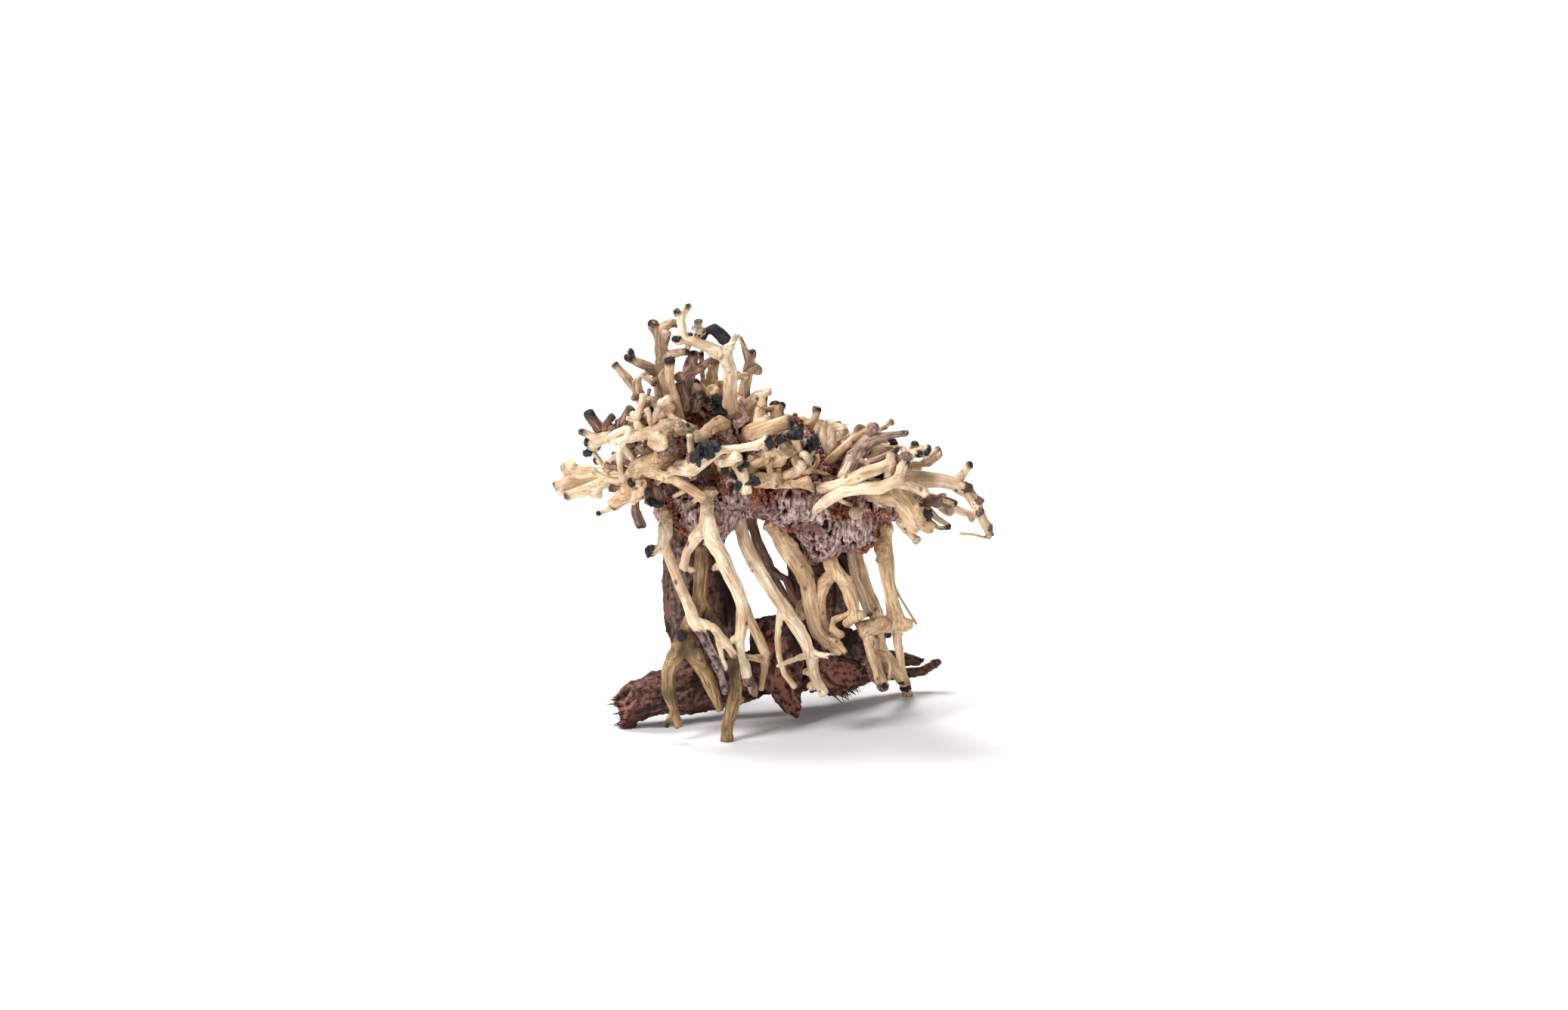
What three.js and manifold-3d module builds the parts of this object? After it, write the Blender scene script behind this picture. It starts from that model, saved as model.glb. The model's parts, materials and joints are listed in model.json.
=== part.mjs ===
// A dry root arrangement: pale roots glued with a sawdust binder onto dark driftwood.
// Millimetres, +Z up, the front faces -Y, and the origin is at the middle of the underside.

import * as THREE from 'three';
import { mergeVertices } from 'three/addons/utils/BufferGeometryUtils.js';
import Module from 'manifold-3d';

const wasm = await Module();
wasm.setup();

// ---- driving dimensions ----
const GLUE_LINE = 0.3; // clear space between neighbouring pieces
const RING_STEP = 8; // length between two sections of a root
const ROOT_SIDES = 6;
const TIMBER_SIDES = 10;
const LUMP_AROUND = 10;
const LUMP_RINGS = 7;
const LUMP_RELIEF = 0.06; // how far a binder mound strays from an ellipsoid
const ROOT_RELIEF = 0.07; // how far a root's section strays from a circle
const FLOOR_BLOCK = 400;

const LOOKS = {
  pale: { color: 0xd7b48c, roughness: 0.7 },
  tan: { color: 0xc89b69, roughness: 0.7 },
  mossy: { color: 0x785a37, roughness: 0.75 },
  brown: { color: 0x6e5548, roughness: 0.8 },
  grey: { color: 0x7d6b62, roughness: 0.8 },
  mauve: { color: 0x967d7d, roughness: 0.85 },
  charred: { color: 0x232328, roughness: 0.6 },
  dark_wood: { color: 0x5f4b46, roughness: 0.8 },
  red_wood: { color: 0x6e3c32, roughness: 0.8 },
  binder: { color: 0x967d7d, roughness: 0.95 },
};

// ---- solids ----

// Turns a closed three.js geometry into a solid that can be joined and cut.
function solidFrom(geometry) {
  const bare = geometry.clone();
  bare.deleteAttribute('normal');
  bare.deleteAttribute('uv');
  const welded = mergeVertices(bare, 1e-4);
  return new wasm.Manifold(new wasm.Mesh({
    numProp: 3,
    vertProperties: new Float32Array(welded.attributes.position.array),
    triVerts: new Uint32Array(welded.index.array),
  }));
}

// A round limb through points [x, y, z, radius]; squash flattens its section along Y.
function limb(points, { grow = 0, sides = ROOT_SIDES, squash = 1 } = {}) {
  const path = new THREE.CatmullRomCurve3(points.map(([x, y, z]) => new THREE.Vector3(x, y, z)));
  path.curveType = 'centripetal';
  const steps = Math.max(points.length - 1, Math.round(path.getLength() / RING_STEP));
  const frames = path.computeFrenetFrames(steps, false);
  const geometry = new THREE.CylinderGeometry(1, 1, 1, sides, steps);
  const corner = geometry.attributes.position;
  for (let i = 0; i < corner.count; i += 1) {
    const ring = Math.round((0.5 - corner.getY(i)) * steps);
    const along = path.getUtoTmapping(ring / steps);
    const span = Math.min(Math.floor(along * (points.length - 1)), points.length - 2);
    const part = along * (points.length - 1) - span;
    const radius = THREE.MathUtils.lerp(points[span][3], points[span + 1][3], part);
    const side = corner.getX(i);
    const front = corner.getZ(i);
    const ripple = 1 + ROOT_RELIEF * Math.sin(2 * Math.atan2(front, side) + 0.9 * ring);
    const reach = radius * ripple + grow;
    const offset = new THREE.Vector3()
      .addScaledVector(frames.normals[ring], side * reach)
      .addScaledVector(frames.binormals[ring], front * reach);
    offset.y *= squash;
    const centre = path.getPoint(along);
    if (ring === 0) centre.addScaledVector(frames.tangents[0], -grow);
    if (ring === steps) centre.addScaledVector(frames.tangents[steps], grow);
    corner.setXYZ(i, centre.x + offset.x, centre.y + offset.y, centre.z + offset.z);
  }
  return solidFrom(geometry);
}

// A rounded mound of binder with half-widths rx, ry and rz.
function mound([x, y, z, rx, ry, rz], grow) {
  const geometry = new THREE.SphereGeometry(1, LUMP_AROUND, LUMP_RINGS);
  const corner = geometry.attributes.position;
  const spot = new THREE.Vector3();
  for (let i = 0; i < corner.count; i += 1) {
    spot.fromBufferAttribute(corner, i);
    const relief = 1 + LUMP_RELIEF * Math.sin(4 * spot.x + x) * Math.cos(4 * spot.z + y);
    corner.setXYZ(
      i,
      x + spot.x * (rx * relief + grow),
      y + spot.y * (ry * relief + grow),
      z + spot.z * (rz * relief + grow),
    );
  }
  return solidFrom(geometry);
}

const joined = (solids) => solids.reduce((whole, next) => whole.add(next));

// ---- timber: [name, look, squash, limbs] ----
const timber = [
  ['base_log', 'red_wood', 0.9, [
    [[-62.5, -11, 7, 5.5], [-57, -10, 10, 8.2], [-49, -7, 13, 9.4], [-42, -4, 12.5, 8.4],
      [-31, 0, 14.5, 10.2], [-14, 6, 17, 9.8],
      [6, 13, 17, 9], [26, 23, 15, 7.5], [44, 35, 12, 5]],
    [[-57, -10, 7, 4], [-59, -11, 2, 2.6], [-59.5, -11, -2, 2.4]],
  ]],
  ['middle_block', 'red_wood', 0.7, [
    [[2, 3, 42, 9.5], [2.5, 3, 36, 11.5], [2, 1, 26, 11.5], [5, -4, 15, 7], [9, -9, 8, 3.4],
      [10.5, -11, 4, 1]],
  ]],
  ['left_post', 'dark_wood', 0.55, [
    [[-33, 8, 84, 13.5], [-32, 8, 66, 14.4], [-30, 8, 50, 14.6], [-27.5, 8, 36, 14.6], [-25, 8, 22, 13]],
  ]],
  ['right_post', 'dark_wood', 0.6, [
    [[20, 9, 78, 14.5], [20.5, 10, 58, 13.5], [21, 11, 43, 11.5], [24, 13, 26, 8]],
  ]],
  ['splintered_wedge', 'red_wood', 0.5, [
    [[16, 4, 22, 6], [22, 4, 18.5, 8.8], [28, 4, 18, 8.8], [33, 4, 19.5, 6.4], [37.5, 4, 21.5, 4],
      [40, 4, 22.5, 2]],
  ]],
  ['dark_burl', 'dark_wood', 0.9, [[[28, 9, 34, 4.5], [33, 9, 30, 6.8], [39, 9, 25, 5.2], [43, 9, 21, 3]]]],
  ['upper_sliver', 'dark_wood', 0.6, [
    [[40, 33, 16, 3.8], [50, 37, 15.5, 3.6], [57, 40, 14.5, 2.6], [63, 43, 12.5, 1.2]],
  ]],
  ['lower_sliver', 'dark_wood', 0.6, [
    [[40, 33, 10, 2.4], [51, 41, 8, 2.2], [61, 43, 8, 2], [70, 43, 13, 1]],
  ]],
];

// ---- binder mounds: [x, y, z, rx, ry, rz] ----
const binderMounds = [
  [-38, -2, 94, 10, 14, 13], [-27, -6, 92, 13, 18, 15], [-40, -3, 106, 10, 13, 11],
  [-10, 0, 103, 17, 26, 15], [8, -2, 99, 14, 24, 16], [21, -2, 87, 12, 17, 17],
  [34, 0, 87, 12, 17, 15], [46, 1, 95, 9, 14, 10], [43, -2, 103, 11, 14, 9],
  [-28, 2, 116, 16, 18, 14], [-37, -6, 122, 9, 11, 9], [-27, -3, 127, 10, 9, 8],
  [-14, -6, 130, 8, 9, 10], [4, 0, 116, 17, 19, 11], [25, 2, 107, 16, 19, 11],
];

// ---- roots: each limb is a list of [x, y, z, radius] ----
const root = (name, look, ...limbs) => ({ name, look, limbs });

const legs = [
  root('front_forked_leg', 'pale',
    [[-26, -18, 104, 2.6], [-26.5, -28, 95, 3.1], [-24, -31, 86, 3.4], [-19.5, -32, 77, 3.1],
      [-15.5, -32, 68, 2.9], [-12, -31, 59, 2.5], [-11.5, -30, 52, 2.3], [-13, -29, 46, 2.4],
      [-12.5, -27, 36, 1.7], [-10.5, -26, 28, 2.4], [-8, -25, 19, 0.8]],
    [[-26.5, -29, 92, 2.6], [-31, -31, 86, 2.2], [-35, -31, 79, 1.7], [-36, -31, 73, 1.4]],
    [[-36, -31, 75, 1.1], [-31.5, -31, 72, 0.8]],
    [[-20, -31, 77, 1.3], [-23.5, -30, 72.5, 0.7]],
    [[-13, -29, 44, 1.8], [-17, -29, 42, 1]]),
  root('left_outer_leg', 'pale',
    [[-42, -12, 95, 2.5], [-44, -22, 81, 2.7], [-41, -24, 74.5, 2.4], [-38, -26, 67, 2.2],
      [-35, -28, 60, 2.2], [-32, -30, 52, 2.5], [-29, -31, 47, 2.1], [-23, -32, 35, 1.7],
      [-18.5, -33, 21, 1.3]],
    [[-44, -22, 80, 2], [-51, -22, 77.5, 1.9]],
    [[-31.5, -31, 51, 2], [-24, -31, 49, 2], [-20, -31, 44, 2], [-15, -31, 36, 1.4]],
    [[-22, -31, 46, 1.4], [-21, -31, 39, 1.1], [-18.5, -31, 30, 0.8]]),
  root('splayed_leg', 'mossy',
    [[-29, -6, 84, 2.7], [-29, -16, 68, 2.8], [-29.5, -19, 56, 2.8], [-33.5, -25, 47.5, 3.8],
      [-35.5, -27, 41.5, 4.6], [-41, -30, 33, 3.1], [-43, -30.5, 27, 2.6], [-42, -31, 20.5, 2.5],
      [-39.5, -31, 12, 1.9], [-38, -31, 6, 1.3]],
    [[-40.5, -31, 13, 1.4], [-43.5, -32, 6.5, 0.9]],
    [[-36, -27, 42, 3.4], [-32.5, -27.5, 37.5, 4.2], [-27, -29.5, 28, 2.9], [-23, -30.5, 19, 2.2],
      [-21, -31, 13, 1.3]],
    [[-29, -19, 57, 1.8], [-23, -19.5, 48, 1.5], [-20.5, -20, 43, 1.2]],
    [[-36, -27, 43, 2], [-37.5, -31, 44, 1.9]]),
  root('front_prop_leg', 'mossy',
    [[-16, -21, 36, 2.2], [-14.5, -26, 24, 2.7], [-15, -27, 18, 2.8], [-17.5, -29, 10.5, 3.2],
      [-18.5, -30, 4.5, 2.4], [-18.5, -30, -2, 2.2]],
    [[-14.5, -27, 19, 1.8], [-12, -27, 16, 1.3]],
    [[-16, -21, 36, 1.8], [-17, -10, 37, 2], [-18, -2, 34, 2.2]]),
  root('inner_small_leg', 'tan',
    [[-13, 1, 56, 1.5], [-10.5, -8, 49, 1.5], [-5.5, -12, 39, 1.8], [-3, -13, 34, 1.7],
      [-3, -14, 26, 1.4], [-4.5, -14, 17, 0.9]],
    [[-3, -14, 30, 1.2], [-11, -20, 33, 1]]),
  root('centre_long_leg', 'pale',
    [[-14, -6, 92, 2.5], [-12, -17, 83, 2.5], [-9, -19, 77, 2.6], [-5, -21, 70, 2.6],
      [0, -23, 62, 2.7], [5, -24, 55, 2.9], [9.5, -25, 48, 2.8], [13, -25, 42, 2.7],
      [16, -25, 36, 2.8], [17, -24, 28, 2.1], [19.5, -24, 22, 2.1], [21.5, -24, 18, 1.9]],
    [[4, -24, 56.5, 1.7], [2.3, -26, 43.5, 1.3], [3, -26.5, 35.5, 1.2], [5, -27, 28, 1.2],
      [9.5, -27, 22, 1]],
    [[16.5, -25, 36, 1.8], [25.5, -27, 35, 0.9]],
    [[15, -26, 35.5, 1.5], [9, -29, 34.3, 1], [2, -31, 32, 0.6]],
    [[17, -24, 28.5, 1.7], [13, -24, 26.5, 0.9]],
    [[18.5, -24, 23, 1.6], [15.5, -24.5, 20.5, 1.3]]),
  root('centre_shadow_leg', 'brown',
    [[-9, 1, 91, 2.2], [-7, 3, 78, 1.9], [-3.5, 4, 70.5, 2.1], [-1, 5, 63.5, 1.7],
      [6.5, 1, 51, 1.6], [14, -3, 40, 1.3]],
    [[-1, 5, 63.5, 1.6], [6, 0, 60, 1.6], [9, -4, 53.5, 1.7], [14, -7.5, 47.5, 1]]),
  root('centre_thick_leg', 'tan',
    [[-4, -4, 95, 3.2], [0.5, -10, 87, 3.4], [4, -12, 81, 3.7], [8, -13, 74.5, 4.2],
      [12.5, -13, 68, 4.1], [14.5, -13, 63, 3.1], [15, -13, 55.5, 2.7], [16.5, -13, 47.5, 2.6],
      [18, -13.5, 42.5, 2.4], [21.5, -15, 39, 2.1], [25, -16, 35.5, 1.7], [28, -17, 33, 1.2]],
    [[13, -13, 67.5, 2.4], [16, -13.5, 66.5, 1.5]],
    [[22, -15, 39, 1.6], [26.5, -16.5, 38, 1.4], [31.5, -18, 32.5, 0.7]]),
  root('arched_leg', 'tan',
    [[22, -3, 76, 2.5], [24, -10, 70.5, 2.9], [25.5, -12, 66.5, 3.2], [29.5, -13, 63.5, 2.8],
      [32, -14, 58.5, 2.8], [33.5, -14.5, 53.5, 2.6], [34.5, -15, 50, 2.6], [30, -15, 44.5, 1.3]],
    [[25.5, -12, 66.5, 2.9], [21.8, -12, 62.5, 2.7], [19.5, -11.5, 57, 2.5], [19.6, -10, 51, 2.3],
      [20.5, -8.5, 45.5, 1.9], [24, -8, 39, 1.8], [28, -8.5, 37.5, 1.6]],
    [[34.8, -15, 50, 1.8], [37.5, -16, 48, 1.5]],
    [[34, -13, 51, 1.4], [28.5, -11, 47, 1.4], [23.5, -13, 45.5, 1.5], [25.5, -15, 42.5, 1.5],
      [29, -16.5, 41, 1.3]]),
  root('right_back_leg', 'tan',
    [[34, 3, 80, 2.6], [35.5, 6, 67.5, 2.7], [38.5, 9, 54, 2.7], [41, 10, 48, 2.7],
      [43, 12, 42, 2.9], [44, 14, 34.5, 3.1], [44, 17, 28.5, 3.1], [46, 20, 22.5, 2.8],
      [49.5, 24, 16.5, 2.6], [53, 29, 11, 2.3], [55.5, 33, 6, 2.1], [57, 36, -2, 2.1]],
    [[35.5, 6, 64.5, 2.1], [34.5, 2, 60.5, 1.6]],
    [[43.5, 15, 31, 1.9], [43, 13, 20.5, 1.6], [46.5, 13, 13, 1.2]]),
  root('right_outer_leg', 'tan',
    [[46, 0, 90, 2.8], [46, -5, 76, 3], [47, -6, 69, 2.8], [48, -7, 61, 2.5], [49, -8, 54, 2.6],
      [51, -9, 48, 3.5], [51.5, -9, 43.5, 3.9], [55.5, -9, 41, 2]],
    [[51.5, -9, 44, 3.4], [46, -10, 43.8, 3.3], [41, -11, 43.4, 3.2], [37.5, -12, 42.3, 3.7],
      [36, -12, 41.8, 3.4]],
    [[51, -9, 43, 2], [51.8, -8, 34.5, 1.6], [53, -7, 27, 1.4], [56, -6, 17, 0.8]],
    [[38.5, -12, 42.5, 1.9], [39.5, -14, 35.5, 1.4], [43, -16, 24.7, 1.3], [44.5, -17, 18.5, 1]]),
  root('right_twin_props', 'tan',
    [[40, -9, 41, 1.6], [42.6, -6, 27.7, 1.6], [45.2, -6, 21, 1.4], [46.9, -6, 16, 1.2]],
    [[41.8, -7, 31.5, 1.3], [45.5, -9, 31.2, 0.9], [48.8, -12, 30.5, 0.9], [48.3, -12, 21, 0.8]]),
  root('right_inner_root', 'pale',
    [[32, 2, 74, 1.8], [34, -2, 62, 1.8], [38.7, -3, 49.8, 2], [40, -3, 45.8, 1.8]]),
  root('back_left_leg', 'tan',
    [[-20, 14, 96, 3], [-27, 27, 76, 2.8], [-33, 34, 52, 2.6], [-28, 39, 26, 2.5], [-25, 42, -2, 2.4]],
    [[-33, 34, 50, 2.2], [-40, 35, 34, 1.6], [-41, 33, 20, 1]]),
  root('back_right_leg', 'tan',
    [[14, 14, 92, 3], [20, 29, 70, 2.8], [16, 34, 48, 2.4], [22, 37, 30, 1.9], [20, 40, 14, 1]],
    [[17, 33, 50, 2], [9, 36, 38, 1.5], [10, 38, 24, 0.9]]),
];

const leftCrown = [
  root('far_left_flare', 'pale',
    [[-40, -3, 103, 3.4], [-54, -8, 106, 3.4], [-63, -10, 108, 3.4], [-72, -12, 108.5, 3.6],
      [-79, -13, 107.8, 4.4], [-83, -13, 109.4, 4.2], [-85, -13, 112.4, 2.2]],
    [[-78.5, -13, 107, 4], [-84, -14, 104.8, 3.6], [-87.8, -14, 102.6, 2.8]],
    [[-52, -9, 105.5, 2.4], [-60, -15, 105.5, 2.2], [-67, -18, 107, 2.5], [-73, -20, 105, 2.8],
      [-78.5, -21, 102.5, 2.2], [-84, -22, 101.5, 1.7]],
    [[-71.5, -20, 105, 2.8], [-72, -19, 101, 2.6]]),
  root('left_elbow_root', 'tan',
    [[-38, -12, 114, 3.6], [-44, -27, 118, 3.9], [-51, -30, 118, 4], [-55.5, -31, 116, 3.9],
      [-57.5, -32, 112, 3], [-57.5, -33, 106, 3.2], [-61.5, -34, 103, 2.5], [-65, -35, 101, 2.1]],
    [[-57.5, -33, 104.5, 3], [-54, -33, 106, 2.8], [-51.5, -33, 111, 1.1]],
    [[-54.5, -31, 116, 2.6], [-48, -31, 114, 2.2], [-42, -32, 112.5, 2.1], [-36, -33, 109.5, 2.1],
      [-27.5, -33, 103.5, 1.8]]),
  root('left_back_prongs', 'pale',
    [[-38, -2, 110, 2.2], [-50, -12, 117, 2], [-55, -20, 121.5, 1.9], [-60.5, -24, 120.5, 1.9],
      [-64.5, -26, 117.5, 2], [-67.5, -28, 114.5, 1.7]],
    [[-51, -13, 118, 1.9], [-63, -16, 123, 1.7], [-69, -19, 129, 1.6], [-71.5, -20, 133, 1.6],
      [-74, -21, 136, 1.8]]),
  root('left_prong_root', 'pale',
    [[-38, -6, 122, 2], [-48, -15, 130, 1.9], [-54.5, -21, 133, 1.9], [-60, -25, 131.5, 2.2],
      [-65, -27, 129, 2.3], [-70, -29, 127.3, 2.4], [-74.3, -30, 125.3, 1.9]],
    [[-70.5, -29, 127.5, 1.9], [-77.7, -31, 131.3, 1]]),
  root('knuckle_root', 'pale',
    [[-35, -8, 124, 2.8], [-39, -28, 134, 2.8], [-43, -34.5, 134.5, 3.6], [-47, -36, 132, 3.4],
      [-52, -36, 131.5, 2.2], [-57, -36, 130, 2], [-61.5, -36, 127.7, 1.3], [-66.5, -36, 128, 0.8]],
    [[-45, -35.5, 131.5, 3.4], [-46.5, -40.5, 129, 3.6]]),
  root('left_spire', 'grey',
    [[-38, -4, 126, 2.4], [-44, -8, 137, 2.2], [-46, -12, 146.5, 2.1], [-45.4, -13, 154, 2.1],
      [-44, -14, 161.5, 2.1], [-46.3, -14, 171, 2], [-48.5, -14, 173, 1]],
    [[-45.5, -14, 169.5, 1.8], [-42.5, -14, 172, 1.4], [-37, -11, 171.3, 1.1]],
    [[-44, -14, 162, 1.5], [-43, -16, 169, 1.4]],
    [[-43.8, -14, 158.5, 1.7], [-36.5, -15.5, 160.5, 1.2], [-33.8, -16.5, 161, 1.1]],
    [[-45.8, -13, 151, 1.8], [-49.5, -15, 154, 1.7], [-53.5, -17, 156, 1.6], [-59, -19, 159.5, 0.9]],
    [[-55.8, -18, 157.5, 1.1], [-57.7, -17, 162, 0.7]]),
  root('arched_spar', 'pale',
    [[-16, -8, 128, 2.8], [-17, -18, 143.3, 2.7], [-17, -20, 151, 2.5], [-17.6, -21, 157.5, 2.6],
      [-20.5, -22, 162.3, 2.5], [-25.5, -22, 164, 1.9], [-30.5, -22, 166, 1.6], [-35, -22, 168, 1.6],
      [-38.8, -22, 167.6, 1.5]],
    [[-35.6, -22, 168, 1.5], [-36.6, -21, 176.6, 1.6], [-33.2, -21, 181.7, 0.9]],
    [[-36.6, -21, 176, 1.3], [-38.7, -21, 179.5, 0.9]],
    [[-19, -21.5, 162, 1.5], [-13.7, -19.5, 168.8, 0.8]]),
  root('middle_spar', 'brown',
    [[-33, -3, 129, 2.2], [-34.6, -10, 143.7, 2.1], [-34, -11, 149, 2.2], [-32.7, -12, 154.6, 2.1],
      [-31.2, -13, 159.4, 1.5]],
    [[-33.5, -11, 150.4, 1.6], [-29, -13, 153.6, 1.3], [-21.8, -15, 159, 0.8]],
    [[-34.3, -11, 148.5, 1.3], [-39, -7, 148.4, 1]],
    [[-34, -7, 137.7, 1.9], [-30.8, -1, 140.6, 1.7]]),
  root('back_pale_spar', 'tan',
    [[-25, 0, 126, 2.8], [-24, -2, 143.6, 2.4], [-24.5, -2, 149.8, 2], [-22.5, -3, 154.5, 1.2]],
    [[-25.2, -3, 134, 2.4], [-25, -11, 139.5, 2.4], [-23.8, -14, 144.6, 2.1]],
    [[-25.5, -2, 138, 1.2], [-28, -2, 145, 0.9], [-28.7, -5, 158, 0.8]]),
  root('charred_top_stub', 'charred',
    [[-29, -19, 166.8, 1.7], [-27.4, -18.5, 168.6, 1.5], [-25.4, -18, 171, 2.1], [-21.4, -18.5, 168.8, 2.5],
      [-18, -19.5, 165.8, 2.3], [-16.8, -20, 163, 1.9]],
    [[-29.2, -18.5, 167.2, 1.4], [-29.9, -18, 174.2, 0.8]]),
  root('right_spar_pair', 'grey',
    [[-11, -4, 126, 2.1], [-11, -7, 140.8, 1.8], [-10.8, -7.5, 146.7, 2], [-9.3, -8, 152, 2.2],
      [-7.7, -8, 159.1, 1.2]],
    [[-8.9, -8, 151.5, 1.9], [-5.2, -9.5, 151.9, 1.7]],
    [[-9.4, -8, 154.5, 1.2], [-10.8, -8, 159.7, 0.9], [-12.8, -8, 165, 0.7]],
    [[-11, -4, 131, 1.9], [-13, -9, 137.2, 1.7], [-13.8, -11.5, 146.2, 1.5], [-12.3, -11.5, 155.6, 1.2]]),
  root('small_fork_stub', 'pale',
    [[-13, -6, 129, 2], [-9.5, -12, 137.5, 1.9], [-6, -13, 140.9, 1.9], [-3.6, -14, 143.4, 1.8],
      [-0.2, -14, 143.6, 1.1]],
    [[-4.3, -14, 142.8, 1.5], [-4, -14.5, 137.5, 1.4]],
    [[-12, -9, 132, 1.7], [-8.5, -18, 134.9, 1.4], [-3, -20, 135.7, 1.4], [4.3, -21, 136.4, 1.2]]),
  root('thick_right_log', 'tan',
    [[-12, -9, 123, 4], [-5, -21, 129, 3.7], [1, -22.5, 131, 3.4], [7.7, -24, 133.4, 2.8]],
    [[-8, -14, 124, 2.2], [-2, -17, 121.5, 1.8], [4, -19, 125, 1.8], [10.8, -21, 128.4, 2.1]]),
  root('bone_spar', 'pale',
    [[-31, -12, 111, 2.6], [-38, -29, 116, 3], [-35.5, -35, 116.6, 3.3], [-30, -37, 118.6, 3.4],
      [-26, -38, 122.3, 2.6], [-21, -38, 125, 1.9], [-14, -38, 125.8, 1.8], [-7, -38, 127, 1.9],
      [-2, -38, 128.7, 2], [0.2, -38, 131, 1]],
    [[-2.5, -38, 127.7, 1.8], [4, -38, 122.4, 0.8]],
    [[-1.8, -37.5, 127.4, 1.6], [-1.6, -41.5, 127.6, 1.7]]),
  root('hanging_knobbed_root', 'pale',
    [[-20, -12, 110, 2.4], [-18.5, -27, 117.5, 2.7], [-14.5, -33, 119.8, 2.8], [-12.3, -35, 116.2, 2.6],
      [-11, -36, 111.9, 1.8], [-10, -37, 106.7, 1.9]]),
  root('broad_tan_root', 'tan',
    [[-12, -14, 106, 2.8], [-4, -27.5, 109.5, 3], [2.6, -31, 110.6, 2.8]],
    [[-6, -23, 108.5, 2.8], [3, -23.5, 108.7, 3], [10, -24.5, 109.1, 3.2], [15, -25, 107.4, 2.4],
      [18.2, -24, 104.6, 1.4]]),
  root('fan_root', 'tan',
    [[-8, -12, 112, 2.2], [0, -26, 117, 2.5], [4, -30, 119.8, 3], [6.8, -31, 124.3, 3.4]]),
  root('black_tipped_cluster', 'pale',
    [[15, -10, 106, 2.2], [13, -26, 115.9, 1.8], [11.5, -28, 120.6, 1.6], [9.7, -29, 125.5, 1.8],
      [9, -29, 128, 1.5]],
    [[14, -21, 112.5, 1.8], [15, -22, 120, 1.9], [16.2, -23, 124.2, 2.8]],
    [[13.5, -25, 115, 1.7], [12.2, -30, 116.5, 2.2], [15.2, -31, 114.2, 1.8]]),
  root('hanging_brown_stubs', 'brown',
    [[-40, -6, 101, 1.9], [-48, -14, 104.5, 1.8], [-55, -20, 104, 1.7], [-55.8, -22, 97.3, 1.8],
      [-54.3, -22, 92.6, 1.7], [-52.9, -22, 88.6, 1.7]],
    [[-50, -16, 104.7, 1.7], [-49.6, -25, 104.8, 1.5], [-50, -27, 99.9, 1.7]]),
  root('left_upper_fork', 'grey',
    [[-38, -8, 122, 1.9], [-50, -18, 135.3, 1.7], [-53, -20, 142.3, 1.5], [-56, -20, 147.5, 1.4],
      [-59.3, -22, 152, 1.4], [-63.7, -23, 157.2, 1.2]],
    [[-52, -19.5, 139.6, 1.5], [-53.6, -24, 144.3, 1.5], [-54.6, -25.5, 149.4, 1.5],
      [-54.2, -26, 154.7, 1.3], [-47, -28, 150, 1.1]],
    [[-51.5, -20, 139.5, 1.6], [-50.5, -28, 143.8, 1.9], [-46.8, -31, 143.3, 1.6]]),
  root('splintered_stump', 'tan',
    [[-36, -8, 124, 3], [-40.4, -21, 143.5, 2.9], [-41.4, -23, 151.4, 2.2], [-41.4, -23, 159.4, 2.1]],
    [[-41.5, -21, 142, 1.5], [-44.4, -22, 148.5, 1.1], [-44.6, -22.5, 155, 1.1]]),
  root('pale_fan_root', 'tan',
    [[-18, -10, 128, 2.6], [-22, -25, 133, 3.2], [-26.5, -28, 130.2, 2.6], [-31.5, -28, 127, 1.4]]),
];

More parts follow.
